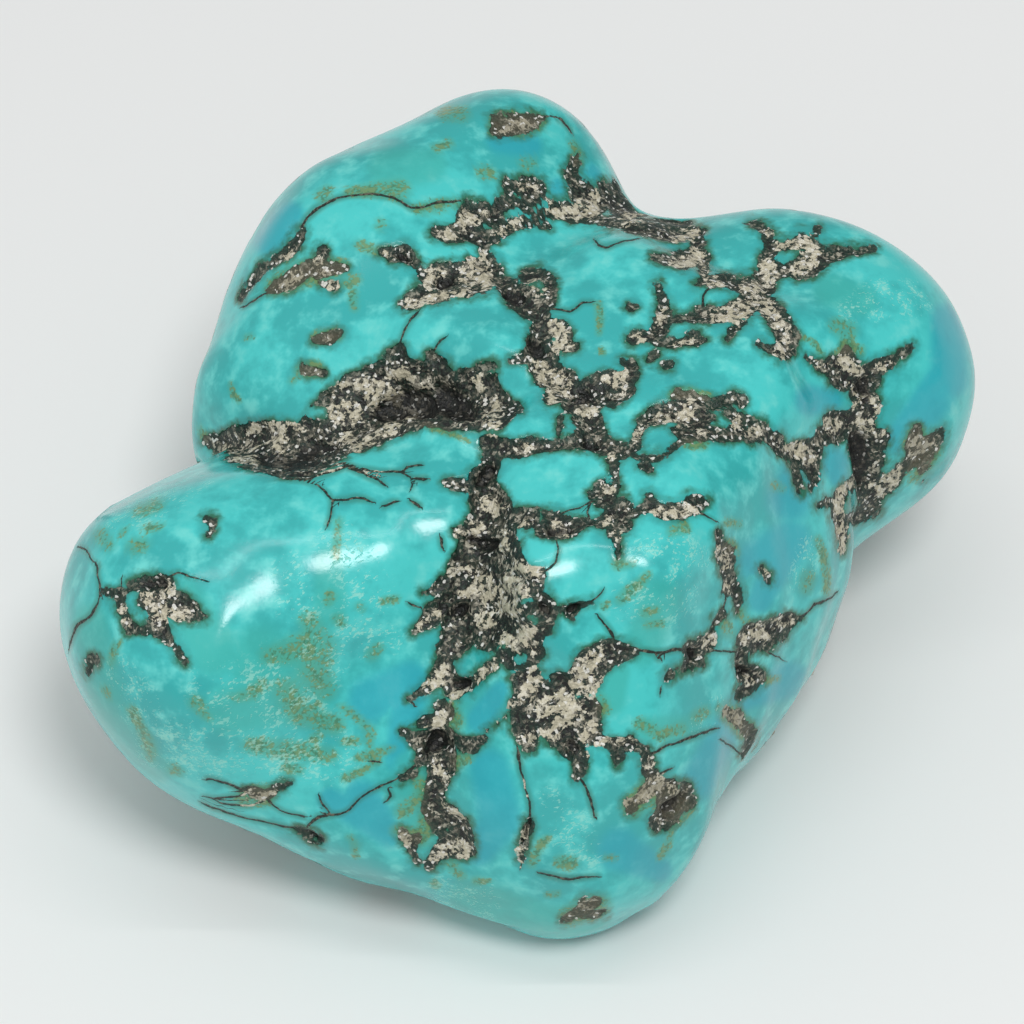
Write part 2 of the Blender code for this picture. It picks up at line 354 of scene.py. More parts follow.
# value noise: random numbers on a lattice, smoothly interpolated between its eight corners
def latticeNoise(points, wavelength, seed):
    lattice = np.random.default_rng(seed).random((latticeSize, latticeSize, latticeSize))
    cell = points / wavelength + latticeShift * seed
    base = np.floor(cell).astype(int)
    share = smoothStep(cell - base, 0, 1)
    total = np.zeros(len(points))
    for x in (0, 1):
        for y in (0, 1):
            for z in (0, 1):
                corner = (base + (x, y, z)) % latticeSize
                weight = np.prod(np.where((x, y, z), share, 1 - share), axis=1)
                total += weight * lattice[corner[:, 0], corner[:, 1], corner[:, 2]]
    return total


def stoneMesh():
    directions, quads = sheetGrid(form["sheetCells"])
    directions = directions - form["lean"] * lookAlong
    directions /= np.linalg.norm(directions, axis=1, keepdims=True)
    points = easeFolds(weather(surfaceAlong(directions)), quads)
    print("stone surface worked out:", len(points), "points")
    return points, quads


# pixel of the 1024 frame at which each point is seen
def pixelOf(points):
    away = points - eye
    depth = away @ lookAlong
    return np.stack([halfFrame + focalPixels * (away @ lookRight) / depth,
                     halfFrame - focalPixels * (away @ lookUp) / depth], axis=-1)


sightTest = {
    "facing": (0.04, 0.18),  # cosines to the line of sight between which a face comes into view
    "inside": -0.3,          # mm inside the stone that counts as hidden
    "margin": 0.2,
    "travels": (1.0, 2.0, 3.5, 5.5, 8.0, 12.0, 17.0, 23.0, 30.0),   # mm towards the camera
}


# 1 where the surface faces the camera and nothing stands between, 0 where it is hidden
def seenShare(points, normals):
    sight = eye - points
    sight /= np.linalg.norm(sight, axis=1, keepdims=True)
    facing = smoothStep(np.sum(normals * sight, axis=1), *sightTest["facing"])
    limit = np.minimum(sightTest["inside"], stoneDepth(points) - sightTest["margin"])
    for travel in sightTest["travels"]:
        facing = np.where(stoneDepth(points + sight * travel) < limit, 0, facing)
    return facing


# The markings are strokes over the seen side: pixel x, pixel y and half width in pixels of
# the 1024 frame. A stroke is measured in the frame where the stone faces the camera, and
# along the surface where it turns away.
marking = {
    "reach": 1.5,          # mm beyond a stroke's edge to which its depth is followed
    "margin": 1.0,         # mm further within which vertices are measured
    "stainSpread": 1.35,   # width of a stain against its stroke
    "shadeFade": (1.35, 0.35),   # a shade's distances, in half widths, of its edge and its core
    "veinReach": 3.0,      # gap given to places without a vein
    "seed": 11,
}
# rock between the turquoise
patches = {
    # left lobe
    "leftTop": [(138, 585, 5), (150, 583, 8), (160, 583, 9), (168, 583, 6)],
    "leftCore": [(150, 598, 11), (165, 602, 15), (180, 606, 13), (192, 613, 9), (205, 618, 2)],
    "leftTail": [(158, 620, 10), (165, 635, 7), (174, 647, 3.5), (187, 664, 1.5)],
    "leftLink": [(134, 583, 3.5), (126, 591, 3), (117, 593, 3.5), (105, 591, 2)],
    "leftLoop": [(119, 594, 4), (119, 605, 4.5), (125, 618, 4.5), (131, 629, 5), (140, 630, 3),
                 (151, 630, 4), (160, 634, 5)],
    "leftSpot": [(206, 519, 3.5), (212, 521, 4.5), (213, 526, 3), (208, 534, 3)],
    "leftRimSpot": [(93, 658, 4), (91, 666, 4), (88, 673, 1.5)],
    # rear lobe
    "rearArc": [(240, 297, 2), (252, 281, 3.5), (263, 268, 4), (280, 257, 4), (290, 250, 6),
                (298, 240, 5), (301, 229, 3)],
    "rearPatch": [(271, 289, 4), (285, 284, 8), (296, 275, 9), (308, 269, 7), (318, 262, 8),
                  (322, 250, 5)],
    "rearPatchEnd": [(318, 270, 7), (332, 269, 7), (345, 266, 2.5)],
    "rearPatchFoot": [(322, 283, 3), (334, 284, 6)],
    "rearTriangle": [(381, 252, 3), (392, 254, 7), (404, 253, 9), (411, 261, 5), (417, 268, 2)],
    "rearSpot": [(313, 340, 1.5), (322, 338, 5), (331, 336, 7), (338, 333, 4)],
    "rearSpotLow": [(303, 368, 4), (311, 371, 5), (323, 373, 2.5)],
    "rearBox": [(498, 120, 7), (499, 130, 7), (512, 126, 9), (526, 123, 9), (536, 122, 6)],
    "rearBoxTop": [(492, 117, 3), (508, 116, 3.5), (522, 114, 3.5), (540, 118, 3)],
    # band between the rear lobe and the plateau
    "bandWest": [(437, 232, 6), (449, 235, 7), (463, 231, 10), (470, 219, 12), (468, 206, 7)],
    "bandWestTop": [(480, 211, 10), (493, 214, 8), (503, 204, 7), (509, 192, 5), (506, 180, 3)],
    "bandDark": [(517, 184, 6), (530, 184, 8), (539, 187, 7), (527, 196, 7), (541, 198, 6)],
    "bandCream": [(543, 203, 6), (553, 209, 8), (566, 211, 9), (580, 214, 8), (597, 217, 6)],
    "bandKnot": [(578, 158, 4), (570, 170, 5), (574, 182, 8), (580, 195, 9)],
    "bandEast": [(588, 193, 9), (596, 204, 11), (608, 196, 9), (617, 205, 9), (628, 213, 8),
                 (640, 214, 6)],
    "bandEastTop": [(603, 186, 5), (614, 185, 4), (620, 197, 6)],
    "bandFoot": [(485, 244, 5), (484, 253, 5)],
    "bandMiddle": [(496, 216, 7), (510, 204, 7), (524, 207, 6), (540, 211, 6)],
    "bandTail": [(640, 214, 5), (655, 216, 6), (672, 220, 6), (689, 222, 3)],
    "greyBand": [(600, 221, 4), (618, 223, 5), (640, 227, 7), (660, 232, 7), (678, 234, 7),
                 (700, 232, 5)],
    "bandLow": [(470, 233, 8), (482, 238, 8), (497, 236, 6), (509, 228, 6), (521, 222, 5), (536, 223, 3),
                (549, 226, 1.5)],
    "sidePatch": [(655, 257, 3.5), (668, 259, 5), (680, 260, 8), (692, 257, 9), (703, 257, 7),
                  (704, 268, 5), (705, 277, 4)],
    "sideLink": [(697, 240, 6), (697, 248, 5), (692, 254, 6)],
    # star on the right lobe
    "starWest": [(694, 285, 1.5), (703, 281, 5), (716, 280, 6), (730, 281, 6), (742, 284, 8),
                 (754, 288, 10)],
    "starNorth": [(765, 288, 10), (764, 274, 9), (765, 260, 7), (771, 248, 6), (768, 234, 5),
                  (762, 226, 3), (752, 224, 1.5)],
    "starEast": [(775, 270, 10), (790, 266, 8), (804, 261, 10), (817, 257, 10), (831, 254, 7),
                 (845, 251, 5), (860, 250, 3), (874, 248, 1.5)],
    "starTop": [(776, 244, 4), (786, 244, 4), (798, 243, 5), (810, 243, 6), (817, 246, 6)],
    "starSpur": [(815, 241, 3), (818, 229, 2.5)],
    "starSpurWest": [(803, 240, 3), (801, 233, 2)],
    "starUnder": [(797, 275, 4), (812, 271, 5), (822, 264, 5)],
    "starSouth": [(764, 299, 10), (773, 312, 9), (782, 325, 11), (788, 338, 11), (786, 350, 9),
                  (783, 357, 4)],
    "starFoot": [(760, 344, 2), (770, 349, 4), (779, 350, 6)],
    "starSouthWest": [(757, 300, 9), (745, 306, 10), (731, 312, 10), (718, 314, 8), (704, 315, 7),
                      (697, 309, 4)],
    "starSpurSouth": [(742, 322, 4), (735, 327, 4), (729, 339, 2.5)],
    "plateauPatch": [(658, 284, 3.5), (661, 294, 4), (663, 306, 6), (664, 318, 8), (658, 330, 8),
                     (651, 338, 6), (641, 336, 5)],
    "plateauLine": [(669, 317, 3), (682, 319, 3), (694, 317, 5), (702, 313, 5)],
    "plateauLow": [(656, 342, 5), (672, 342, 5), (686, 340, 6), (697, 341, 5), (704, 340, 2)],
    "plateauLink": [(687, 331, 3), (696, 334, 4), (699, 340, 4)],
    "plateauSpot": [(649, 360, 3), (656, 354, 3.5)],
    "plateauSpotEast": [(663, 364, 3), (670, 365, 3)],
    "plateauDot": [(631, 307, 3.5), (634, 306, 2)],
    "plateauEdge": [(633, 338, 6), (641, 333, 4)],
    # middle of the top
    "topDark": [(423, 275, 6), (432, 277, 12), (446, 277, 14), (456, 275, 13)],
    "topCream": [(468, 272, 12), (479, 264, 11), (485, 276, 13), (494, 270, 8), (484, 252, 5)],
    "topLine": [(404, 305, 4), (414, 300, 8), (421, 292, 7), (432, 296, 6), (448, 293, 6),
                (466, 290, 6), (482, 288, 6)],
    "topEast": [(499, 280, 5), (509, 288, 10), (519, 295, 14), (530, 304, 14), (540, 314, 10)],
    "topEastEdge": [(526, 277, 6), (540, 274, 6), (550, 281, 5), (551, 292, 5), (546, 303, 8)],
    "topSouth": [(541, 322, 9), (541, 336, 11), (536, 349, 11), (525, 359, 5), (512, 361, 2.5)],
    "topSouthCream": [(551, 326, 7), (562, 332, 9), (566, 344, 9), (574, 346, 5)],
    "topSouthFoot": [(553, 348, 8), (545, 360, 9)],
    "knotCream": [(540, 366, 11), (552, 378, 16), (562, 386, 17), (550, 397, 7)],
    "knotDark": [(575, 395, 13), (590, 392, 13), (602, 392, 12), (586, 405, 12), (570, 406, 7)],
    "knotEast": [(599, 380, 7), (613, 380, 11), (627, 378, 10), (632, 367, 7), (623, 362, 3)],
    "knotUnder": [(610, 397, 9), (621, 393, 8), (628, 388, 6)],
    "knotSouth": [(590, 413, 10), (592, 425, 11), (597, 438, 11), (588, 436, 9)],
    # groove behind the left lobe
    "grooveWest": [(205, 439, 2.5), (217, 443, 9), (232, 444, 18), (250, 446, 23), (268, 447, 25),
                   (286, 449, 28), (303, 451, 26)],
    "grooveMiddle": [(303, 451, 26), (320, 440, 27), (334, 428, 31), (348, 418, 36),
                     (364, 410, 38), (380, 402, 38), (397, 394, 38)],
    "grooveEast": [(397, 394, 38), (414, 396, 34), (430, 394, 34), (450, 405, 25), (470, 402, 28),
                   (487, 403, 30), (500, 408, 22), (516, 407, 6)],
    "groovePeak": [(391, 356, 5), (399, 347, 3.5), (402, 357, 5)],
    "grooveTop": [(430, 357, 6), (440, 366, 8)],
    "grooveRim": [(462, 376, 5), (475, 371, 5), (492, 366, 4)],
    # line of rock over the middle island, and the column running down the front
    "line": [(488, 443, 8), (500, 449, 9), (514, 449, 8), (528, 446, 8), (545, 446, 6),
             (562, 443, 5), (580, 441, 6), (597, 443, 9), (612, 448, 9), (626, 450, 7),
             (637, 446, 5)],
    "lineLoop": [(558, 440, 2.5), (559, 428, 2), (561, 417, 3)],
    "lineUp": [(578, 440, 4), (581, 428, 4), (577, 416, 5)],
    "columnTop": [(492, 452, 8), (490, 466, 9), (482, 480, 14), (486, 496, 17), (493, 512, 20)],
    "columnTail": [(468, 485, 8), (457, 483, 5), (446, 482, 3)],
    "columnPit": [(493, 512, 20), (489, 530, 26), (483, 545, 25)],
    "columnNeck": [(466, 533, 10), (460, 531, 7)],
    "columnWest": [(480, 548, 20), (466, 572, 19), (461, 592, 20), (459, 612, 20), (461, 632, 20),
                   (450, 650, 12)],
    "columnEast": [(500, 548, 20), (508, 572, 22), (518, 590, 26), (520, 610, 26), (524, 630, 22),
                   (522, 650, 17)],
    "columnMiddle": [(490, 560, 25), (490, 600, 30), (492, 625, 26), (488, 640, 12)],
    "columnShoulder": [(530, 577, 14), (538, 575, 8)],
    "columnHip": [(540, 605, 13), (549, 614, 9), (545, 630, 6)],
    "spurWest": [(445, 584, 8), (433, 591, 5), (425, 592, 2)],
    "spurWestLow": [(442, 610, 12), (431, 618, 10), (421, 626, 5), (413, 634, 1.5)],
    "armWest": [(449, 640, 8), (448, 655, 8), (443, 668, 8), (433, 683, 7), (421, 692, 4.5),
                (409, 699, 1.5)],
    "footWest": [(447, 672, 9), (454, 688, 11), (463, 684, 9), (476, 682, 8), (487, 671, 6),
                 (494, 662, 6)],
    "footEast": [(503, 655, 7), (512, 665, 5), (530, 660, 8), (536, 652, 9)],
    # lower patch of the front
    "lowWestRim": [(512, 688, 6), (507, 700, 7), (503, 713, 6), (494, 722, 3.5), (488, 727, 2)],
    "lowWest": [(520, 685, 13), (532, 680, 13), (532, 705, 19), (520, 716, 12), (527, 735, 12),
                (527, 748, 6)],
    "lowMiddle": [(560, 690, 17), (550, 712, 21), (563, 728, 20), (585, 712, 16), (590, 732, 12)],
    "lowNorth": [(584, 680, 16), (592, 663, 15), (608, 654, 14), (622, 652, 11), (635, 651, 3)],
    "lowSouth": [(572, 748, 13), (580, 758, 8), (579, 770, 5), (578, 779, 3)],
    "lowEast": [(597, 738, 5), (607, 741, 5), (619, 747, 8), (630, 744, 7), (637, 748, 4)],
    "lowEastSpur": [(618, 757, 5), (617, 765, 2)],
    "nest": [(562, 609, 2.5), (572, 611, 7.5), (580, 606, 4), (592, 603, 2)],
    # branch to the right of the column
    "branch": [(516, 515, 9), (530, 518, 11), (545, 523, 14), (560, 526, 13), (573, 526, 9),
               (584, 522, 4), (594, 522, 3), (602, 524, 6)],
    "branchNode": [(604, 521, 7), (612, 514, 8), (622, 510, 9), (623, 523, 10), (613, 529, 7)],
    "branchDrop": [(617, 536, 4), (618, 547, 4), (618, 556, 2)],
    "branchPeak": [(592, 494, 4), (601, 491, 8), (611, 488, 7), (608, 500, 8), (600, 502, 5)],
    "branchEast": [(622, 505, 7), (635, 514, 4), (643, 508, 5), (652, 505, 8), (661, 510, 7),
                   (673, 512, 8), (684, 509, 8), (695, 506, 7)],
    "branchHorn": [(650, 503, 6), (649, 497, 4)],
    "branchHornEast": [(690, 499, 5), (700, 501, 5), (706, 502, 3.5)],
    "islandEdge": [(611, 460, 5), (616, 474, 3), (617, 487, 4)],
    # band over the right shoulder
    "shoulderWest": [(639, 430, 4), (645, 421, 6), (655, 416, 9), (668, 411, 10), (680, 410, 14),
                     (695, 412, 15), (703, 422, 12)],
    "shoulderTop": [(673, 398, 4), (682, 395, 6), (693, 398, 7), (704, 399, 5)],
    "shoulderLow": [(682, 430, 10), (696, 430, 11), (710, 433, 7), (724, 435, 7), (738, 431, 9)],
    "shoulderHook": [(712, 406, 5), (723, 402, 4), (733, 396, 5), (741, 398, 4), (742, 404, 3)],
    "shoulderEast": [(728, 412, 4), (740, 419, 7), (740, 430, 8), (753, 434, 8), (766, 434, 8),
                     (776, 441, 7), (784, 451, 7)],
    "shoulderSpur": [(746, 418, 3), (755, 426, 5), (765, 426, 3)],
    "islandUnder": [(634, 455, 3), (646, 458, 3), (658, 457, 3), (668, 451, 3), (677, 445, 3),
                    (682, 438, 4)],
    "islandWest": [(634, 447, 4), (636, 437, 5), (640, 430, 4)],
    "triangle": [(638, 463, 2), (645, 464, 4.5), (649, 469, 3)],
    "shoulderNode": [(790, 452, 8), (801, 453, 12), (812, 452, 10), (806, 464, 8)],
    "shoulderDrop": [(812, 466, 7), (814, 479, 6), (812, 487, 3)],
    "shoulderDropWest": [(795, 466, 4), (797, 479, 3), (800, 492, 2.5)],
    # crevice beside the right lobe
    "creviceWest": [(806, 357, 2), (815, 361, 4), (824, 367, 7), (837, 367, 11), (849, 362, 10),
                    (846, 353, 5)],
    "creviceTop": [(842, 376, 13), (856, 378, 13), (868, 378, 12), (862, 392, 13), (868, 402, 12)],
    "creviceBranch": [(872, 369, 6), (881, 364, 7), (892, 361, 6), (901, 355, 4), (908, 350, 3),
                      (914, 345, 1)],
    "creviceMiddle": [(868, 402, 12), (868, 412, 11), (858, 412, 9), (862, 425, 13), (850, 422, 11)],
    "crevicePatch": [(850, 422, 10), (834, 421, 10), (838, 431, 12), (826, 437, 10),
                     (817, 447, 9)],
    "creviceBlack": [(862, 425, 13), (866, 442, 17), (870, 458, 16), (868, 474, 13),
                     (867, 490, 10), (872, 503, 10), (874, 511, 6)],
    "creviceEast": [(880, 434, 7), (884, 444, 5)],
    "creviceFoot": [(881, 490, 9), (890, 482, 8), (897, 473, 5), (906, 467, 2.5)],
    "flakes": [(856, 481, 4), (847, 487, 5), (840, 497, 7), (838, 511, 6), (842, 526, 6),
               (843, 539, 5), (842, 551, 3)],
    "flakesEast": [(846, 518, 5), (856, 518, 6), (866, 512, 6)],
    "flakesWest": [(821, 506, 3.5), (829, 502, 3.5)],
    "greyPatch": [(917, 432, 7), (913, 446, 8), (921, 454, 10), (929, 445, 9), (938, 437, 6),
                  (943, 431, 3)],
    "greyPatchFoot": [(903, 463, 4), (913, 464, 5), (924, 463, 6), (921, 473, 3), (922, 479, 1.5)],
    # right side of the front
    "armTop": [(718, 531, 2), (720, 540, 4), (725, 551, 8), (727, 561, 9), (726, 571, 6),
               (729, 580, 6), (736, 590, 4.5), (739, 602, 3.5), (738, 612, 2.5)],
    "armTopWest": [(729, 583, 5), (727, 591, 4)],
    "armBlob": [(694, 650, 10), (697, 658, 9), (688, 666, 5), (681, 671, 2)],
    "armBlobEast": [(698, 647, 8), (709, 643, 7), (714, 634, 3.5), (716, 624, 4), (723, 614, 4)],
    "armSpot": [(679, 669, 2), (671, 674, 4), (666, 679, 3)],
    "armPatch": [(744, 641, 7), (752, 634, 10), (765, 632, 11), (777, 628, 10), (789, 621, 8),
                 (799, 618, 2.5)],
    "armPatchDown": [(742, 652, 6), (741, 666, 6), (747, 674, 10), (757, 677, 9), (752, 684, 7),
                     (742, 692, 5), (737, 699, 2)],
    "armPatchUnder": [(752, 645, 7), (767, 645, 5), (781, 636, 4)],
    "armDot": [(762, 569, 2.5), (766, 575, 3.5), (769, 582, 2)],
    "rimPatch": [(727, 711, 5), (735, 716, 6), (742, 725, 6), (750, 733, 6), (750, 743, 3.5),
                 (743, 755, 1.5)],
    "hand": [(646, 752, 4), (649, 762, 5), (648, 772, 6), (656, 779, 6)],
    "handCream": [(639, 799, 5), (648, 791, 8), (659, 785, 8), (672, 788, 8)],
    "handDark": [(686, 789, 7), (688, 800, 8), (678, 804, 12), (667, 803, 11), (669, 815, 11),
                 (660, 822, 10)],
    "handWest": [(627, 803, 3), (633, 805, 6), (631, 812, 4)],
    # left side of the front
    "sinkTop": [(440, 706, 6), (446, 714, 9), (437, 722, 9), (424, 722, 7)],
    "sink": [(404, 733, 3), (413, 739, 7), (422, 742, 11), (434, 741, 15), (428, 753, 12),
             (419, 763, 4)],
    "sinkEast": [(446, 735, 8), (447, 755, 8), (447, 770, 8)],
    "sinkDown": [(434, 758, 9), (439, 773, 11), (435, 790, 11), (433, 806, 10), (440, 822, 12)],
    "sinkFoot": [(449, 814, 9), (457, 826, 11), (463, 840, 10), (466, 851, 8), (450, 846, 13),
                 (437, 856, 8), (431, 864, 5)],
    "sinkSide": [(402, 779, 4), (409, 776, 5), (414, 774, 3)],
    "sinkIsle": [(456, 738, 3), (463, 744, 7), (472, 745, 7), (482, 740, 4)],
    "chipWest": [(403, 833, 4), (409, 842, 6), (417, 839, 4), (411, 851, 3), (417, 862, 2)],
    "chipRim": [(294, 829, 2), (302, 832, 3), (311, 836, 4.5), (319, 841, 4)],
    "underLens": [(246, 790, 3), (259, 795, 5.5), (268, 796, 4), (280, 788, 3), (290, 783, 1.5)],
    "grainVein": [(528, 822, 4), (529, 829, 4.5), (524, 839, 4), (521, 850, 4.5), (522, 860, 3)],
    "footStar": [(562, 920, 2), (574, 914, 4), (588, 908, 7), (598, 901, 4)],
    "footStarEast": [(584, 900, 3), (594, 914, 4), (604, 913, 2)],
}

# turquoise islands that show inside those patches
islands = {
    "bandMiddle": [(514, 213, 3.4), (520, 211, 3.2)],
    "bandMiddleEast": [(538, 203, 2.6), (541, 203, 2.4)],
    "bandMiddleTop": [(499, 193, 3.6), (502, 196, 3)],
    "leftIsle": [(137, 616, 6), (143, 621, 5)],
    "rearIsle": [(278, 271, 4), (270, 278, 3)],
    "bandIsleWest": [(486, 196, 5), (496, 185, 6)],
    "bandIsle": [(508, 214, 4.5), (519, 213, 5.5)],
    "bandIsleMiddle": [(535, 208, 5), (545, 204, 5)],
    "bandIsleBlue": [(553, 188, 9), (562, 189, 10)],
    "bandIsleEast": [(590, 170, 7), (599, 176, 7)],
    "starIsle": [(782, 257, 6), (791, 255, 6)],
    "starIsleWest": [(712, 300, 7), (721, 298, 9), (730, 295, 6)],
    "starIsleFoot": [(765, 341, 4), (772, 339, 4)],
    "plateauIsle": [(674, 328, 6), (686, 326, 5)],
    "smallIsle": [(507, 377, 11), (520, 388, 13), (533, 400, 11), (543, 408, 4)],
    "lineIsle": [(510, 431, 6), (522, 426, 11), (538, 422, 11), (550, 418, 7)],
    "lineIsleEast": [(567, 425, 6), (569, 432, 5)],
    "grooveIsle": [(311, 412, 7), (321, 411, 8)],
    "columnIsle": [(464, 670, 8), (470, 660, 9), (483, 657, 8), (493, 654, 4)],
    "columnIsleEast": [(518, 660, 6), (523, 658, 4)],
    "columnDot": [(524, 601, 5), (530, 599, 4)],
    "columnDotLow": [(531, 618, 5), (535, 622, 4)],
    "roundIsle": [(541, 554, 15), (545, 553, 13)],
    "branchDot": [(525, 534, 5), (532, 531, 4)],
    "branchDotTop": [(540, 508, 3), (541, 519, 3)],
    "lowDot": [(545, 676, 6), (549, 682, 4)],
    "shoulderIsle": [(714, 424, 5), (723, 423, 7)],
    "shoulderIsleTop": [(723, 411, 3), (735, 405, 4)],
    "islandWest": [(648, 444, 9), (661, 441, 10), (671, 438, 7)],
    "creviceIsle": [(831, 450, 8), (835, 464, 15), (838, 477, 10)],
    "creviceIsleWest": [(838, 398, 8), (848, 404, 7)],
    "armIsle": [(730, 601, 5), (730, 608, 3)],
    "sinkIsleEast": [(480, 712, 20), (497, 690, 18)],
}

# hairline veins: (x, y, half width)
veins = {
    "leftRim": [(79, 547, 1.5), (85, 549, 1.5), (92, 560, 1), (98, 565, 2), (97, 573, 1),
                (100, 585, 1.8), (99, 600, 1.4), (93, 613, 2), (87, 619, 2.4), (76, 626, 3),
                (73, 634, 2.2), (69, 648, 1), (67, 657, 0.7)],
    "leftTopTail": [(168, 577, 2), (178, 572, 1.8), (190, 577, 1.2), (209, 581, 0.8)],
    "leftBranch": [(100, 588, 1.8), (107, 592, 2)],
    "leftStem": [(121, 587, 1.5), (122, 578, 1)],
    "rearArcTop": [(301, 229, 2.8), (306, 219, 2.4), (316, 209, 3.2), (326, 203, 2.2),
                   (338, 198, 1.8), (350, 195, 1.8), (370, 194, 1.8), (392, 197, 1.8),
                   (402, 202, 2), (412, 208, 2.6), (425, 207, 2), (440, 202, 2.6),
                   (458, 201, 2)],
    "rearLow": [(243, 307, 1.5), (256, 299, 1.8), (272, 289, 2)],
    "boxTail": [(541, 116, 1.5), (552, 116, 1.4), (561, 119, 1.4), (567, 126, 1.6),
                (573, 134, 1)],
    "squiggle": [(595, 241, 1), (600, 246, 1.8), (607, 247, 2.3), (615, 244, 1.8),
                 (625, 241, 1), (640, 239, 0.8)],
    "isleRing": [(703, 306, 2.5), (703, 296, 1.8), (708, 289, 1.5), (714, 285, 1.2)],
    "isleUnder": [(706, 311, 2), (718, 309, 1.5), (732, 303, 1.6)],
    "plateauHair": [(552, 309, 2.5), (560, 310, 1.8), (570, 311, 1.8), (576, 308, 1.6),
                    (583, 302, 1.8), (592, 302, 1.5)],
    "topHair": [(418, 312, 2.5), (410, 320, 2), (405, 330, 1.8), (400, 341, 1.8),
                (399, 348, 2.5)],
    "notch": [(432, 354, 2.2), (436, 347, 1.6), (440, 341, 1.6), (446, 336, 0.8)],
    "starHair": [(752, 224, 1.5), (745, 224, 1)],
    "branchHair": [(599, 500, 2.5), (590, 502, 1.5), (580, 508, 1.5), (570, 510, 1.3),
                   (561, 513, 1.5)],
    "branchHairLow": [(591, 503, 1.2), (587, 512, 1.4), (590, 521, 1.5)],
    "branchTail": [(699, 512, 1.8), (708, 517, 1.4), (716, 522, 1)],
    "nestHair": [(552, 606, 2), (562, 609, 2)],
    "nestEast": [(590, 603, 1.6), (597, 598, 1.6), (603, 590, 1)],
    "lowHair": [(598, 616, 1.5), (606, 625, 2), (613, 636, 3)],
    "roundHair": [(541, 573, 2.5), (549, 569, 2), (556, 562, 1.8), (559, 550, 1.2),
                  (557, 541, 1)],
    "grooveHair": [(245, 467, 1), (262, 471, 1.5), (280, 477, 2), (300, 480, 2),
                   (318, 485, 1.5), (327, 493, 1.5), (332, 500, 1.5), (331, 514, 1.6),
                   (327, 527, 1.6)],
    "flakeHair": [(296, 479, 1.5), (308, 478, 3), (322, 474, 3.5), (335, 470, 3.5),
                  (346, 466, 2), (357, 470, 3), (367, 475, 3), (378, 480, 3), (386, 486, 1)],
    "flakeTop": [(330, 466, 1.2), (345, 463, 1.5), (358, 468, 1.5), (372, 471, 3),
                 (381, 472, 2), (393, 472, 1.6), (403, 472, 2.8)],
    "flakeLow": [(333, 500, 1.6), (345, 500, 2.6), (356, 498, 3), (365, 499, 2.4),
                 (373, 502, 1)],
    "wedgeTop": [(403, 472, 2.5), (407, 467, 2), (414, 466, 1.4), (421, 465, 1.6)],
    "wedgeLow": [(403, 473, 2), (413, 478, 1.8), (425, 479, 3)],
    "wedgeHook": [(411, 478, 1), (413, 485, 1), (411, 490, 0.8)],
    "wedgeSpots": [(384, 506, 2.4), (392, 502, 2.2), (398, 501, 1)],
    "wedgeSpotEast": [(411, 501, 2), (419, 506, 2.6)],
    "wedgeDot": [(441, 538, 2.4), (443, 548, 2.4)],
    "spurDot": [(408, 603, 1), (414, 606, 2.6), (420, 607, 1.5)],
    "armWestHair": [(409, 699, 2), (414, 704, 2.2)],
    "armEastHair": [(635, 650, 2.6), (646, 651, 2.6), (656, 653, 3), (666, 652, 2.4),
                    (675, 649, 2.4), (685, 649, 3)],
    "armDrop": [(656, 654, 3), (659, 658, 3)],
    "armRight": [(706, 650, 2.4), (720, 651, 1.4), (734, 652, 1.4)],
    "armLoop": [(727, 590, 2.6), (725, 603, 1.6), (722, 613, 2.4)],
    "armTail": [(799, 618, 2), (808, 612, 1.6), (815, 604, 2.6), (822, 602, 2.4),
                (830, 598, 1.8), (837, 592, 1)],
    "armHair": [(768, 652, 1), (778, 657, 1), (785, 661, 0.6)],
    "ridge": [(634, 745, 3), (641, 752, 3), (649, 755, 3), (657, 752, 2), (666, 745, 1.8),
              (676, 743, 1.8), (690, 738, 2.6), (703, 733, 2.2), (717, 728, 1.2)],
    "handHorn": [(656, 776, 3), (663, 773, 2.6), (672, 768, 1)],
    "rimHair": [(722, 740, 1.2), (732, 747, 1.4), (741, 754, 1.4)],
    "lowTail": [(578, 777, 2.6), (584, 784, 2.2), (588, 792, 2.2), (592, 805, 2.4),
                (595, 817, 1.4)],
    "grainTop": [(517, 748, 1.4), (519, 760, 2.6), (521, 771, 2.4), (524, 782, 1.6),
                 (527, 793, 2), (530, 804, 2), (530, 815, 2.2), (528, 822, 3)],
    "grainEnd": [(522, 858, 2.6), (521, 867, 1.4)],
    "arc": [(539, 873, 1.2), (552, 876, 2.2), (566, 879, 2.4), (580, 878, 1.8), (599, 876, 1)],
    "mainHair": [(419, 762, 2.4), (409, 771, 2.4), (400, 777, 2.6), (388, 783, 2),
                 (377, 788, 2), (368, 793, 1.6), (358, 800, 1.8), (350, 809, 1.6),
                 (341, 814, 1.6), (330, 815, 2.4), (318, 818, 3), (308, 826, 2)],
    "mainLoop": [(386, 801, 1.2), (391, 796, 2.2), (388, 789, 1.2)],
    "mainUp": [(329, 812, 1.5), (322, 803, 1.5), (319, 796, 1)],
    "underTop": [(206, 779, 1.8), (214, 779, 1.8), (225, 783, 1.8), (237, 788, 1.8),
                 (247, 791, 2)],
    "underMiddle": [(203, 796, 0.8), (213, 799, 1.6), (230, 797, 1.8), (247, 794, 2.4)],
    "underLow": [(217, 802, 1.2), (240, 806, 2.2), (252, 805, 2), (264, 801, 2)],
    "underRim": [(201, 802, 1.2), (213, 808, 1.4), (226, 812, 1.4), (246, 818, 1.2),
                 (270, 823, 1.2), (294, 829, 1.6)],
    "underTail": [(267, 799, 2), (273, 805, 1.6), (282, 811, 1.4), (292, 814, 1.2),
                  (304, 817, 1.6)],
    "brownDot": [(372, 761, 2), (378, 762, 2)],
    "columnSide": [(478, 521, 1.5), (468, 526, 1.5), (455, 528, 2)],
    "lowDotHair": [(661, 688, 1.2), (660, 694, 1)],
    "creviceHair": [(902, 466, 1.6), (912, 469, 1.4)],
}

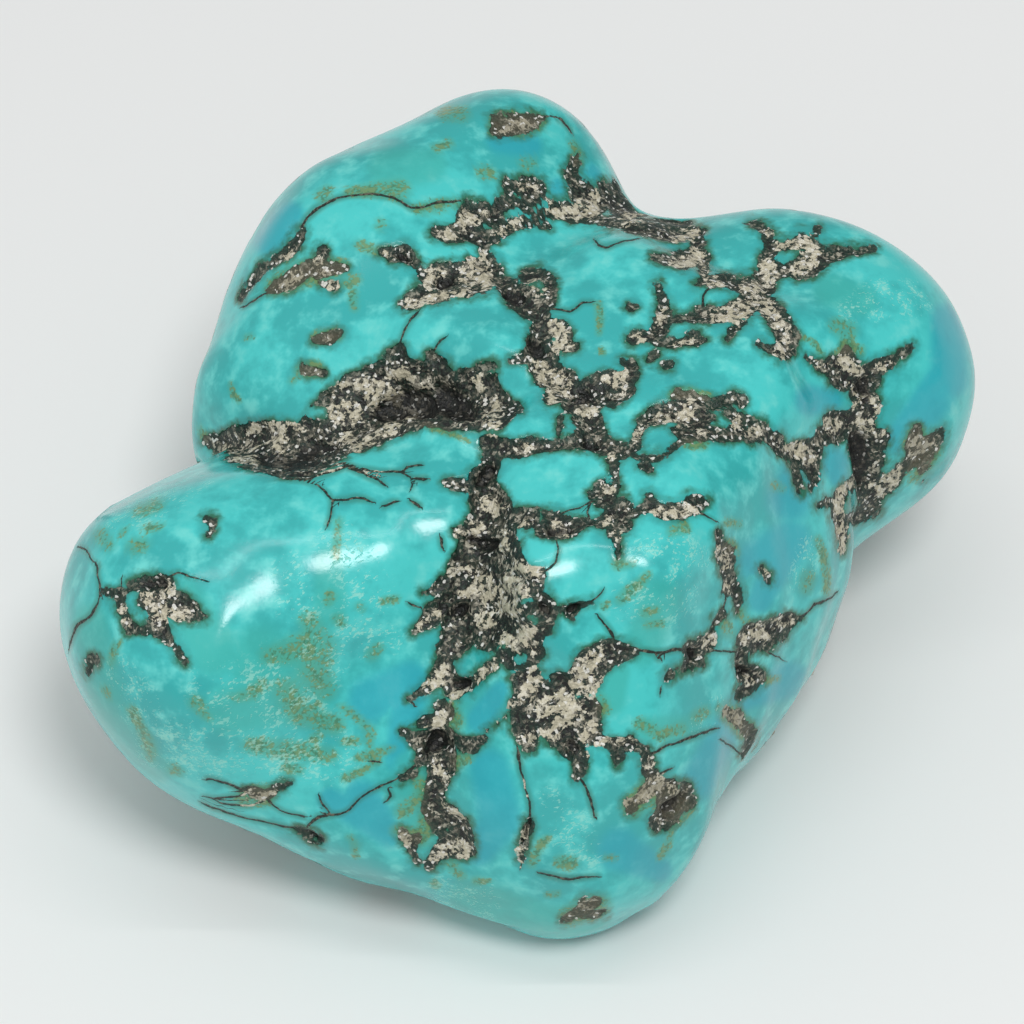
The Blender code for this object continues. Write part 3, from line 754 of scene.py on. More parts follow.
# pale crystals inside the patches
creams = {
    "left": [(147, 597, 7), (155, 611, 6), (165, 612, 8), (178, 616, 6), (184, 615, 4)],
    "leftTop": [(167, 591, 4), (171, 583, 4)],
    "leftLoop": [(121, 610, 2.4), (128, 626, 2.6)],
    "rear": [(284, 287, 4), (293, 277, 5), (297, 273, 3)],
    "rearMiddle": [(317, 261, 4), (322, 270, 4)],
    "rearFoot": [(330, 286, 4), (336, 283, 4)],
    "rearArc": [(286, 256, 3), (290, 252, 3)],
    "rearTriangle": [(386, 253, 3), (389, 254, 2)],
    "box": [(504, 128, 4), (514, 122, 3), (530, 121, 4), (524, 128, 3)],
    "bandWest": [(444, 233, 5), (453, 236, 4)],
    "bandWestTop": [(462, 221, 6), (465, 212, 3), (476, 217, 5), (486, 215, 4)],
    "bandDark": [(524, 187, 5), (533, 185, 4)],
    "bandCream": [(550, 207, 4), (557, 213, 5), (570, 206, 4), (580, 214, 5)],
    "bandEast": [(583, 202, 5), (592, 211, 6), (597, 190, 4)],
    "bandTail": [(628, 217, 6), (641, 216, 4)],
    "greyBand": [(676, 239, 4), (690, 234, 5), (697, 231, 3)],
    "bandLow": [(496, 237, 3), (510, 227, 3), (520, 222, 2)],
    "side": [(676, 262, 4), (690, 262, 5), (699, 256, 5), (694, 250, 4)],
    "sideFoot": [(705, 266, 3), (704, 272, 2)],
    "starWest": [(712, 279, 4), (720, 281, 3)],
    "starMiddle": [(744, 285, 5), (755, 288, 6), (762, 292, 4)],
    "starNorth": [(768, 265, 7), (772, 276, 5)],
    "starNorthTip": [(767, 232, 3), (774, 229, 2)],
    "starTop": [(778, 245, 3), (790, 245, 4), (806, 242, 6), (814, 245, 3)],
    "starEast": [(797, 270, 4), (806, 262, 7), (816, 254, 6)],
    "starSouthWest": [(716, 315, 5), (728, 314, 7), (742, 310, 8), (754, 303, 5)],
    "starSouth": [(766, 302, 6), (772, 313, 6)],
    "starFoot": [(780, 324, 5), (787, 333, 5), (781, 354, 5)],
    "plateau": [(664, 311, 4), (661, 319, 2.5)],
    "plateauEdge": [(637, 336, 4), (642, 341, 3)],
    "plateauLow": [(676, 343, 2.5), (690, 340, 2.5)],
    "top": [(468, 276, 8), (476, 264, 9), (487, 281, 6), (482, 254, 4)],
    "topLine": [(409, 304, 4), (420, 301, 4), (440, 295, 4), (466, 291, 4)],
    "topDark": [(430, 271, 3), (428, 284, 3), (441, 268, 2)],
    "topEast": [(533, 280, 5), (541, 289, 5)],
    "topSouth": [(553, 325, 6), (562, 334, 6), (559, 346, 5), (571, 344, 3)],
    "knot": [(540, 364, 6), (548, 377, 10), (561, 385, 10), (551, 397, 5)],
    "knotEast": [(611, 381, 6), (622, 375, 5), (620, 386, 4), (604, 378, 3)],
    "knotSouth": [(583, 411, 4), (592, 409, 4)],
    "grooveWest": [(217, 446, 7), (222, 449, 5)],
    "grooveNorth": [(250, 431, 5), (254, 428, 4)],
    "grooveSouth": [(236, 458, 4), (254, 455, 5)],
    "grooveRidge": [(268, 424, 4), (279, 431, 7), (277, 446, 5), (280, 453, 3)],
    "grooveKnee": [(292, 421, 5), (297, 427, 3)],
    "grooveBlock": [(336, 411, 7), (352, 410, 9)],
    "grooveFar": [(331, 388, 3), (345, 384, 3)],
    "grooveUpper": [(361, 386, 6), (372, 401, 5)],
    "grooveMiddle": [(378, 388, 8), (391, 397, 7), (384, 394, 7)],
    "groovePeak": [(393, 374, 5), (401, 373, 7), (408, 377, 4)],
    "grooveLow": [(345, 432, 5), (350, 438, 3)],
    "grooveLip": [(356, 448, 4), (367, 437, 5), (378, 429, 5)],
    "grooveFlake": [(388, 425, 8), (394, 420, 5)],
    "grooveSpot": [(404, 411, 4), (409, 409, 3)],
    "grooveSpotTop": [(421, 386, 2.4), (425, 384, 2)],
    "grooveEast": [(484, 417, 4), (492, 410, 5), (497, 402, 5)],
    "grooveEastRim": [(476, 378, 4), (480, 386, 3)],
    "grooveEastLow": [(490, 425, 4), (497, 423, 3)],
    "grooveFoot": [(488, 434, 3), (494, 433, 3)],
    "line": [(519, 443, 4), (526, 446, 4)],
    "lineEast": [(610, 453, 2.6), (614, 454, 2)],
    "lineTip": [(635, 435, 4), (639, 432, 3)],
    "columnTop": [(487, 503, 5), (493, 507, 5), (500, 504, 3)],
    "columnNeck": [(455, 537, 4), (460, 532, 3)],
    "columnPitRim": [(474, 528, 5), (479, 524, 3)],
    "columnPitEast": [(500, 534, 4), (499, 544, 6), (502, 552, 3)],
    "columnShoulder": [(513, 565, 5), (527, 570, 7), (539, 573, 5)],
    "columnWest": [(461, 596, 4), (470, 590, 4)],
    "columnWestTop": [(464, 570, 3), (452, 572, 3)],
    "columnMiddle": [(478, 580, 7), (488, 590, 7), (482, 600, 4)],
    "columnEast": [(505, 583, 9), (520, 594, 7)],
    "columnLow": [(498, 607, 7), (512, 610, 8)],
    "columnLowWest": [(481, 620, 7), (490, 626, 4)],
    "columnFoot": [(504, 640, 5), (518, 640, 9), (529, 632, 6)],
    "columnFootEast": [(515, 648, 5), (534, 650, 4)],
    "footWest": [(478, 678, 4), (487, 670, 4), (494, 663, 3)],
    "footWestLow": [(452, 696, 4), (461, 693, 4)],
    "armWest": [(427, 683, 4), (438, 687, 5), (443, 667, 3)],
    "spur": [(423, 627, 4), (427, 622, 2.6)],
    "spurTop": [(437, 613, 3), (439, 615, 2)],
    "low": [(526, 698, 5), (531, 688, 8), (536, 674, 7)],
    "lowMiddle": [(545, 710, 8), (563, 700, 10), (577, 714, 8), (560, 724, 8), (552, 736, 5)],
    "lowNorth": [(576, 684, 8), (588, 667, 9), (598, 654, 6)],
    "lowEast": [(592, 692, 6), (603, 684, 5)],
    "lowSouthEast": [(584, 737, 5), (593, 728, 5)],
    "lowWest": [(526, 741, 4), (541, 735, 3)],
    "lowRim": [(509, 703, 3), (487, 727, 1.6)],
    "lowTip": [(622, 742, 4), (631, 741, 3)],
    "lowTipWest": [(607, 740, 2.6), (589, 752, 3)],
    "branch": [(522, 523, 4), (528, 520, 2)],
    "branchEast": [(556, 522, 4), (567, 534, 3)],
    "branchNode": [(606, 522, 4), (608, 518, 3)],
    "branchNodeLow": [(616, 534, 3), (620, 533, 2)],
    "branchPeak": [(606, 488, 3), (612, 487, 3)],
    "branchEastMiddle": [(655, 511, 4), (661, 508, 3)],
    "branchEastLow": [(669, 513, 4), (681, 511, 4)],
    "branchEastTip": [(687, 506, 4), (695, 509, 3)],
    "arm": [(720, 550, 3.4), (722, 557, 4), (727, 566, 4)],
    "armLow": [(727, 590, 2.4), (730, 586, 2.6)],
    "armNode": [(706, 644, 4), (714, 640, 3)],
    "armPatch": [(747, 637, 5), (757, 633, 5), (767, 637, 5)],
    "armPatchEast": [(779, 622, 3), (784, 620, 2)],
    "armPatchFar": [(788, 625, 2.4), (792, 620, 2)],
    "armSpot": [(764, 572, 2.4), (767, 576, 2)],
    "armFoot": [(749, 679, 2), (752, 682, 2)],
    "hand": [(639, 799, 4), (649, 790, 7), (660, 784, 6)],
    "handEast": [(669, 788, 2.4), (676, 794, 2.4)],
    "handTop": [(648, 764, 3), (650, 760, 2)],
    "handWest": [(626, 802, 3), (634, 803, 3)],
    "rim": [(727, 711, 6), (736, 717, 5), (742, 728, 2)],
    "sinkTop": [(427, 726, 3), (438, 724, 4), (441, 716, 3)],
    "sinkDown": [(435, 765, 4), (441, 773, 5), (445, 780, 4)],
    "sinkFoot": [(446, 807, 3), (453, 811, 4), (461, 819, 2.4)],
    "sinkFootEast": [(452, 847, 6), (464, 852, 5), (468, 843, 3)],
    "sinkFootWest": [(441, 852, 5), (433, 860, 4)],
    "chip": [(403, 836, 3.4), (407, 842, 4)],
    "shoulder": [(650, 426, 4), (662, 419, 7), (675, 423, 5)],
    "shoulderTop": [(685, 413, 6), (691, 405, 5)],
    "shoulderEast": [(703, 428, 4), (705, 434, 3)],
    "shoulderKnot": [(735, 423, 4), (739, 419, 3)],
    "shoulderFar": [(753, 432, 4), (758, 430, 3)],
    "shoulderNode": [(791, 446, 6), (802, 450, 8), (811, 459, 4)],
    "crevice": [(845, 362, 6), (852, 368, 6), (862, 372, 4)],
    "creviceWest": [(817, 364, 2.4), (826, 368, 3)],
    "creviceLow": [(852, 385, 3), (858, 404, 4), (862, 400, 3)],
    "crevicePatch": [(828, 423, 4), (836, 426, 6)],
    "creviceMiddle": [(864, 423, 5), (868, 428, 5)],
    "creviceEast": [(880, 432, 4), (884, 437, 3)],
    "creviceBranch": [(882, 368, 3.4), (890, 366, 3)],
    "creviceRim": [(875, 401, 2.6), (879, 412, 2.4)],
    "creviceFoot": [(878, 490, 5), (884, 488, 7), (890, 480, 7), (897, 472, 5)],
    "flakes": [(856, 482, 3), (845, 488, 3), (840, 499, 4), (841, 513, 4)],
    "flakesFoot": [(842, 526, 4), (843, 540, 4), (842, 550, 3)],
    "greyPatch": [(916, 452, 5), (922, 443, 4), (929, 447, 4)],
    "grain": [(518, 785, 5), (524, 791, 4)],
    "grainRing": [(524, 833, 4), (517, 842, 3.4), (516, 851, 4), (523, 855, 3)],
    "grainFoot": [(521, 860, 3), (521, 864, 2.4)],
    "footStar": [(583, 909, 3), (592, 906, 3)],
    "under": [(248, 794, 3.4), (262, 797, 3.4), (273, 793, 2)],
    "underLow": [(244, 806, 2), (256, 805, 2)],
    "flakeHair": [(318, 475, 2.4), (331, 471, 3.4), (338, 468, 2)],
    "flakeEast": [(370, 472, 2), (379, 473, 2)],
    "wedge": [(435, 484, 2.6), (440, 486, 2.6)],
}

# open pits: sunk into the surface and painted near-black, a painted shade in the holes
pits = {
    "left": [(147, 582, 4), (157, 581, 6), (164, 584, 4)],
    "columnTop": [(472, 539, 6), (482, 545, 8), (488, 541, 5)],
    "columnTopEast": [(488, 466, 5.5), (481, 480, 6)],
    "columnWest": [(458, 612, 7), (462, 608, 5)],
    "sink": [(437, 738, 8), (433, 748, 6.5), (441, 744, 5)],
    "footWest": [(455, 684, 6), (464, 682, 5)],
    "lowSouth": [(573, 747, 6.5), (578, 751, 5)],
    "hip": [(546, 612, 5), (541, 608, 4)],
    "nest": [(572, 611, 5), (578, 608, 3)],
    "armBlob": [(695, 653, 5), (697, 658, 4)],
    "armFoot": [(742, 669, 3), (750, 675, 4)],
    "line": [(588, 440, 6), (595, 443, 5)],
    "knot": [(576, 396, 5.5), (586, 394, 6)],
    "topDark": [(441, 279, 6), (450, 277, 5)],
    "topEast": [(509, 292, 6), (518, 296, 7)],
    "topSouth": [(535, 340, 7), (541, 350, 7)],
    "rearTriangle": [(402, 254, 6), (408, 258, 4)],
    "grooveWest": [(262, 452, 8), (290, 455, 10), (310, 449, 12), (330, 444, 8)],
    "grooveMiddle": [(380, 408, 8), (402, 400, 12), (425, 402, 12)],
    "grooveEast": [(440, 395, 13), (458, 403, 12), (470, 408, 7)],
    "crevice": [(860, 390, 6), (868, 384, 6), (870, 400, 5)],
    "creviceBlack": [(860, 440, 9), (864, 456, 12), (863, 474, 8), (866, 486, 5)],
    "shoulderNode": [(797, 451, 1.6), (798, 452, 1.6)],
    "grain": [(529, 823, 3), (521, 846, 1.8)],
    "hand": [(683, 798, 5), (669, 811, 6)],
    "chipRim": [(310, 836, 3), (318, 841, 2.6)],
    "branch": [(550, 527, 5), (568, 527, 4)],
}

# olive and brown stains in the turquoise
stains = {
    "leftCloudSouth": [(286, 690, 10), (300, 715, 9), (335, 725, 9)],
    "leftCloudFar": [(250, 745, 7), (290, 750, 9), (330, 755, 7)],
    "leftCloud": [(308, 622, 9), (318, 645, 15), (314, 672, 14), (326, 690, 9)],
    "leftCloudWest": [(268, 656, 7), (290, 652, 11), (305, 640, 10)],
    "leftBar": [(236, 698, 4), (250, 695, 5), (262, 684, 5)],
    "leftSpecks": [(196, 703, 7), (206, 717, 4)],
    "leftTrail": [(132, 710, 5), (141, 727, 4), (150, 745, 6), (151, 757, 4)],
    "leftTop": [(101, 536, 7), (109, 545, 5)],
    "leftTopEast": [(122, 533, 4), (126, 530, 3)],
    "leftCrown": [(140, 511, 6), (158, 505, 6)],
    "leftCrownLow": [(134, 546, 7), (143, 545, 6)],
    "leftCrownEast": [(148, 528, 4), (160, 527, 3)],
    "leftUnder": [(106, 690, 4), (109, 697, 3)],
    "leftLow": [(120, 641, 2), (114, 648, 3), (112, 662, 4)],
    "leftSkirt": [(175, 770, 6), (180, 772, 4)],
    "leftSkirtEast": [(288, 768, 6), (299, 770, 5)],
    "leftSkirtBar": [(298, 713, 4), (310, 709, 4), (318, 705, 3)],
    "seamTop": [(339, 521, 4), (337, 538, 4), (336, 556, 4)],
    "seamSpot": [(338, 619, 5), (342, 624, 4)],
    "seamSpotTop": [(330, 596, 5), (328, 602, 4)],
    "armSpots": [(359, 606, 4), (363, 610, 3)],
    "armSpotsEast": [(384, 601, 4), (396, 599, 4)],
    "armMiddle": [(372, 655, 6), (378, 648, 5)],
    "knee": [(341, 706, 3), (350, 712, 4), (362, 722, 4), (370, 731, 5), (369, 744, 4)],
    "kneeBar": [(344, 742, 4), (356, 741, 4)],
    "kneeTail": [(358, 758, 4), (376, 753, 5), (394, 748, 3)],
    "kneeDot": [(371, 761, 3.5), (378, 762, 3.5)],
    "bellyTop": [(345, 778, 4), (360, 772, 4), (372, 766, 3)],
    "belly": [(318, 736, 5), (312, 740, 4)],
    "green": [(350, 837, 3), (355, 845, 4), (356, 856, 3)],
    "sinkBrown": [(452, 866, 5), (461, 875, 5)],
    "sinkTail": [(476, 881, 4), (490, 881, 2)],
    "grainSide": [(541, 842, 3), (537, 852, 4), (532, 864, 4)],
    "lowSpots": [(560, 862, 6), (572, 863, 6)],
    "lowSpotsTop": [(543, 842, 5), (548, 838, 3)],
    "lowSpotEast": [(606, 857, 3), (614, 858, 3)],
    "lowSpotSouth": [(548, 895, 3), (558, 894, 3)],
    "rimSpot": [(434, 883, 4), (437, 886, 3)],
    "lowRight": [(600, 700, 6), (604, 710, 6)],
    "handTail": [(671, 834, 3), (668, 845, 4), (660, 856, 4)],
    "ridgeCloud": [(640, 724, 6), (648, 728, 5), (660, 735, 5), (682, 728, 5)],
    "ridgeCloudEast": [(697, 716, 6), (706, 711, 5)],
    "isleCloud": [(620, 600, 5), (630, 591, 6), (640, 583, 5), (648, 575, 4)],
    "isleCloudWest": [(604, 606, 4), (609, 603, 3)],
    "isleCloudEast": [(646, 613, 5), (656, 610, 4)],
    "isleCloudLow": [(648, 625, 4), (660, 623, 4)],
    "isleTop": [(617, 565, 5), (632, 563, 4)],
    "branchCloud": [(672, 531, 5), (686, 528, 5)],
    "armGlow": [(731, 545, 5), (735, 552, 5)],
    "armCloud": [(726, 626, 6), (729, 632, 6)],
    "armCloudTop": [(745, 620, 5), (741, 612, 4)],
    "flankCloud": [(808, 578, 7), (806, 588, 6)],
    "flankStripe": [(818, 540, 4), (824, 556, 4), (827, 575, 4), (827, 592, 4)],
    "flankTop": [(728, 522, 4), (738, 524, 4)],
    "armFootTail": [(765, 681, 3), (778, 679, 3)],
    "shoulderLow": [(688, 444, 5), (704, 445, 5)],
    "plateauEast": [(776, 486, 5), (782, 488, 4)],
    "lobeCloud": [(836, 325, 7), (848, 331, 9), (846, 344, 6)],
    "lobeHair": [(800, 337, 3), (812, 341, 3), (821, 352, 3)],
    "plateauStripe": [(598, 305, 4), (600, 320, 4), (599, 333, 3)],
    "plateauDot": [(601, 350, 3), (603, 353, 3)],
    "rearArc": [(350, 192, 5), (375, 190, 7), (400, 190, 9)],
    "rearArcWest": [(322, 196, 6), (327, 190, 5)],
    "rearArcEast": [(418, 210, 5), (440, 206, 6), (455, 203, 5)],
    "rearSpot": [(379, 227, 4), (382, 223, 4)],
    "rearTail": [(360, 245, 5), (370, 249, 5)],
    "rearFoot": [(346, 284, 4), (356, 279, 5)],
    "rearStripe": [(353, 292, 4), (354, 308, 4)],
    "rearDots": [(231, 386, 3), (233, 393, 3), (238, 399, 3)],
    "rearGreen": [(292, 381, 3.5), (295, 379, 3)],
    "rearRim": [(246, 338, 3), (251, 337, 3)],
    "rearTop": [(445, 113, 7), (462, 114, 7)],
    "rearTopLow": [(436, 148, 4), (450, 143, 4)],
    "rearCrown": [(524, 166, 5), (532, 162, 5)],
    "rearBand": [(480, 172, 5), (490, 173, 6)],
    "rearEast": [(574, 145, 5), (579, 158, 5)],
    "lipGreen": [(470, 442, 2), (448, 433, 3), (425, 424, 4)],
    "shoulderRing": [(672, 395, 4), (690, 390, 4), (706, 396, 4)],
    "creviceRing": [(862, 350, 4), (852, 346, 5), (840, 352, 4)],
    "rimBrown": [(200, 428, 3), (203, 436, 4)],
    "sinkGreen": [(402, 812, 6), (418, 800, 6), (420, 780, 5)],
    "sinkGreenLow": [(395, 830, 5), (422, 838, 7), (424, 815, 5)],
    "sinkGreenEast": [(456, 762, 6), (470, 758, 4)],
    "sinkGreenTop": [(456, 722, 8), (452, 706, 5)],
}

# rock bleached to brownish grey
fadedRock = {
    "footStar": [(570, 916, 12), (588, 908, 14), (601, 904, 12)],
    "hand": [(634, 806, 14), (652, 790, 16), (676, 806, 20)],
    "rearBox": [(498, 124, 12), (520, 124, 14), (536, 122, 10)],
    "rearPatch": [(274, 286, 12), (300, 274, 16), (338, 268, 12)],
    "greyPatch": [(917, 440, 16), (928, 456, 16), (914, 474, 10)],
    "rimPatch": [(728, 712, 12), (744, 728, 12)],
    "skirtPatch": [(262, 796, 14), (240, 800, 8)],
    "rearIslet": [(318, 337, 8), (336, 336, 8)],
    "rearIsletLow": [(300, 371, 8), (316, 368, 9)],
}

# where rubbing left pale streaks
rubs = {
    "leftFront": [(215, 690, 30), (260, 700, 45), (300, 680, 45), (330, 650, 25)],
    "leftFrontLow": [(150, 745, 20), (200, 745, 35), (260, 745, 38), (330, 755, 30)],
    "leftSide": [(120, 670, 15), (140, 705, 22)],
    "leftCrown": [(120, 520, 14), (160, 500, 20), (200, 478, 12)],
    "armTop": [(340, 545, 25), (370, 590, 25), (350, 640, 25), (390, 640, 15)],
    "armTopWest": [(290, 570, 18), (300, 610, 22)],
    "low": [(550, 800, 14), (570, 830, 24), (590, 855, 14)],
    "lowRim": [(440, 890, 14), (480, 900, 20)],
    "lobe": [(850, 310, 12), (880, 300, 24), (915, 300, 18)],
    "isle": [(630, 600, 22), (670, 600, 26), (690, 560, 20)],
    "isleTop": [(640, 550, 14), (680, 545, 16)],
    "flank": [(810, 545, 12), (800, 580, 12)],
    "ridge": [(700, 720, 14), (720, 705, 10)],
}

# where the turquoise is bluer, and where it is greener: partly the stone's own tone, partly painted
# shade on the lower and side faces turned away from the light
bluerAndShaded = {
    "belly": [(360, 800, 24), (390, 830, 20), (330, 800, 14)],
    "bellyTop": [(370, 700, 26), (410, 680, 22), (400, 760, 16)],
    "low": [(490, 770, 24), (500, 820, 26), (480, 850, 18)],
    "lowIsle": [(480, 720, 16), (500, 690, 10)],
    "flank": [(760, 560, 26), (790, 540, 24), (760, 600, 14)],
    "flankLow": [(790, 680, 22), (740, 700, 12), (700, 780, 22)],
    "lobe": [(930, 400, 26), (900, 440, 18), (955, 350, 12)],
    "creviceIsle": [(834, 462, 18), (838, 478, 10)],
    "shoulder": [(810, 400, 18), (830, 400, 14)],
    "bandIsle": [(558, 188, 12), (564, 189, 8)],
    "bandIsleEast": [(592, 171, 9), (598, 176, 6)],
    "rearWest": [(270, 240, 20), (290, 215, 16)],
    "rearBox": [(500, 140, 16), (530, 145, 14)],
    "foot": [(620, 850, 26), (660, 870, 14)],
    "lobeEast": [(948, 320, 20), (950, 380, 22)],
    "flankTop": [(790, 500, 26), (800, 470, 20)],
}
greenerAndShaded = {
    "leftFront": [(260, 660, 40), (300, 690, 40), (230, 710, 30)],
    "leftRim": [(90, 620, 20), (110, 720, 24), (160, 770, 14)],
    "sink": [(410, 790, 24), (420, 830, 24)],
    "sinkTop": [(452, 706, 16), (440, 745, 18), (408, 765, 16)],
    "leftMid": [(185, 600, 24), (215, 650, 30)],
    "rearArc": [(390, 170, 26), (430, 165, 20)],
    "footRim": [(470, 900, 26), (540, 920, 22), (600, 925, 14)],
    "isle": [(660, 600, 26), (640, 650, 20)],
    "ridge": [(650, 730, 16), (690, 725, 12)],
    "armSeam": [(330, 560, 16), (330, 610, 20)],
    "lowRight": [(610, 700, 18), (620, 670, 12)],
    "lobeTop": [(830, 290, 20), (860, 300, 20)],
}


# every stroke's points laid on the stone, with half widths in millimetres
def layStrokes(marks):
    pixels = np.array([point for stroke in marks.values() for point in stroke], dtype=float)
    places = weather(surfaceSeen(pixels[:, :2]))
    half = pixels[:, 2] * camera["pixelSize"]
    ends = np.cumsum([len(stroke) for stroke in marks.values()])[:-1]
    return list(zip(np.split(pixels[:, :2], ends), np.split(places, ends), np.split(half, ends)))


# For each stroke: the vertices near it, their distance to its middle line, its half width
# at the nearest place, and on which side of the line they lie.
def measureStrokes(stone, marks):
    for pixels, places, half in layStrokes(marks):
        margin = half.max() + marking["reach"] + marking["margin"]
        near = np.flatnonzero(np.all((stone["points"] > places.min(axis=0) - margin)
                                     & (stone["points"] < places.max(axis=0) + margin), axis=1))
        distance, width = np.full(len(near), np.inf), np.zeros(len(near))
        side = np.ones(len(near))
        for first in range(len(pixels) - 1):
            last = first + 1
            flat, flatShare = runDistance(stone["pixels"][near], pixels[first], pixels[last])
            deep, deepShare = runDistance(stone["points"][near], places[first], places[last])
            seen = stone["seen"][near]
            mixed = seen * flat * camera["pixelSize"] + (1 - seen) * deep
            share = seen * flatShare + (1 - seen) * deepShare
            offset = stone["points"][near] - places[first]
            across = np.cross(stone["normals"][near], places[last] - places[first])
            flatOffset, flatRun = stone["pixels"][near] - pixels[first], pixels[last] - pixels[first]
            flatSide = flatOffset[:, 0] * flatRun[1] - flatOffset[:, 1] * flatRun[0]
            deepSide = np.sum(offset * across, axis=1)
            closer = mixed < distance
            width = np.where(closer, half[first] + share * (half[last] - half[first]), width)
            side = np.where(closer, np.sign(np.where(seen > 0.5, flatSide, deepSide)), side)
            distance = np.where(closer, mixed, distance)
        yield near, distance, width, side


# how deep each vertex lies inside the strokes, in mm: half width less distance
def strokeDepth(stone, marks):
    depth = np.full(len(stone["points"]), -marking["reach"])
    for near, distance, width, side in measureStrokes(stone, marks):
        depth[near] = np.maximum(depth[near], width - distance)
    return np.minimum(depth, marking["reach"])


# 1 in the middle of the strokes, fading to 0 a little beyond their edges
def strokeShade(stone, marks, spread=1.0):
    shade = np.zeros(len(stone["points"]))
    for near, distance, width, side in measureStrokes(stone, marks):
        inner = smoothStep(distance / width / spread, *marking["shadeFade"])
        shade[near] = np.maximum(shade[near], inner)
    return shade


# offset from the nearest vein's middle line (signed by side), the gap to it, its half width
def veinLayout(stone, marks):
    gap = np.full(len(stone["points"]), marking["veinReach"])
    offset, half = gap.copy(), np.zeros_like(gap)
    for near, distance, width, side in measureStrokes(stone, marks):
        closer = distance - width < gap[near] - half[near]
        chosen = near[closer]
        offset[chosen] = (side * distance)[closer]
        gap[chosen], half[chosen] = distance[closer], width[closer]
    return offset, gap, half


# distance to the borders between cells: (far squared - near squared) / (2 x spacing)
def cellBorder(points, spacing, seed):
    random = np.random.default_rng(seed)
    low, high = points.min(axis=0), points.max(axis=0)
    count = int(np.prod((high - low) / spacing))
    centres = low + random.random((count, 3)) * (high - low)
    square = (centres ** 2).sum(axis=1) - 2 * points @ centres.T
    two = np.argpartition(square, 1, axis=1)[:, :2]
    both = np.take_along_axis(square, two, axis=1)
    between = np.linalg.norm(centres[two[:, 0]] - centres[two[:, 1]], axis=1)
    return np.abs(both[:, 1] - both[:, 0]) / (2 * between)


# Sides that the strokes don't reach carry the same kind of rock along the borders of
# irregular cells: broad in places, gone in others, with small islands left in it.
hiddenRock = {
    "cellSize": 9.0,
    "bends": ((4.0, 5.0), (1.2, 1.7)),   # how far the cells' borders wander, and the wavelengths
    "mainWidth": 1.5,
    "widthSwing": (3.4, -1.45),          # the width's swing, and the offset that closes it in places
    "seams": ("backNotch", "leftSkirt", "rearVein", "rightVein", "crevice"),
    "seamWidth": 0.55,                   # share of each sunken seam's half width that is rock
    "veinWidth": 0.16,
    "veinWander": 11.0,
    "veinFade": (0.35, 0.6),
    "islands": (3.2, 0.66),              # depth, and the noise value at an island's edge
    "creams": (1.7, 0.60),
    "pitEdge": (0.74, 0.86),
    "stainEdge": (0.86, 1.1),
    "rubEdge": (0.55, 0.8),
    "clearance": 4.0,                    # mm by which the seen side is kept free of all this
}


def paintHiddenSides(stone):
    points, hidden = stone["points"], 1 - stone["seen"]
    clear = hiddenRock["clearance"] * (1 - hidden)
    (broadBend, broadWave), (fineBend, fineWave) = hiddenRock["bends"]
    bent = np.stack([points[:, axis] + broadBend * (latticeNoise(points, broadWave, axis) - 0.5)
                     + fineBend * (latticeNoise(points, fineWave, axis + 3) - 0.5)
                     for axis in range(3)], axis=-1)
    swing, offset = hiddenRock["widthSwing"]
    width = hiddenRock["mainWidth"] * (swing * latticeNoise(points, 9.0, 6) + offset)
    depth = width - cellBorder(bent, hiddenRock["cellSize"], marking["seed"])
    for name in hiddenRock["seams"]:
        halfWidth, drop, route = seams[name]
        seam = halfWidth * hiddenRock["seamWidth"] - routeDistance(bent, snapToSurface(route))
        depth = np.maximum(depth, seam)
    height, edge = hiddenRock["islands"]
    depth = np.minimum(depth, -height * (latticeNoise(points, 2.3, 7) - edge)) - clear
    reach = marking["reach"]
    stone["patchDepth"] = np.maximum(stone["patchDepth"], np.clip(depth, -reach, reach))
    height, edge = hiddenRock["creams"]
    cream = height * (latticeNoise(points, 1.5, 8) - edge) - clear
    stone["creamDepth"] = np.maximum(stone["creamDepth"], cream)
    # pits on the hidden sides: sunk, and later painted near-black as shade in the holes
    pitAndShade = smoothStep(latticeNoise(points, 2.0, 9), *hiddenRock["pitEdge"])
    pitAndShade = pitAndShade * smoothStep(depth, 0.1, 0.6)
    stone["pit"] = np.maximum(stone["pit"], pitAndShade * hidden)
    clouds = latticeNoise(points, 3.0, 10) + 0.3 * latticeNoise(points, 1.2, 12)
    stain = smoothStep(clouds, *hiddenRock["stainEdge"])
    stone["stain"] = np.maximum(stone["stain"], stain * hidden)
    rub = smoothStep(latticeNoise(points, 8.0, 13), *hiddenRock["rubEdge"])
    stone["rub"] = np.maximum(stone["rub"], hidden * rub)
    # veins run where a broad noise crosses its middle value
    wander = hiddenRock["veinWander"] * (latticeNoise(bent, 12.0, 14) - 0.5)
    unmarked = (hidden > 0.5) & (stone["veinGap"] > 1.0)
    stone["veinOffset"] = np.where(unmarked, wander, stone["veinOffset"])
    stone["veinGap"] = np.where(unmarked, np.abs(wander), stone["veinGap"])
    thin = smoothStep(latticeNoise(points, 6.0, 15), *hiddenRock["veinFade"])
    stone["veinHalf"] = np.where(unmarked, hiddenRock["veinWidth"] * thin, stone["veinHalf"])


relief = {
    "rockStep": 0.16,        # rock's drop below the polish at its edge, mm
    "rockSag": 0.26,         # further drop in the middle of broad rock
    "pitDepth": 0.55,
    "grains": ((0.15, 0.95), (0.13, 0.48)),   # height and wavelength
    "grainSeed": 20,
    "creamRise": 0.10,
    # depths inside the patch or crystal over which each of them sets in
    "stepEdge": (-0.15, 0.30),
    "sagEdge": (0.2, 1.5),
    "creamEdge": (-0.1, 0.2),
    "restingHeight": 0.001,  # points lower than this stay on the ground
}


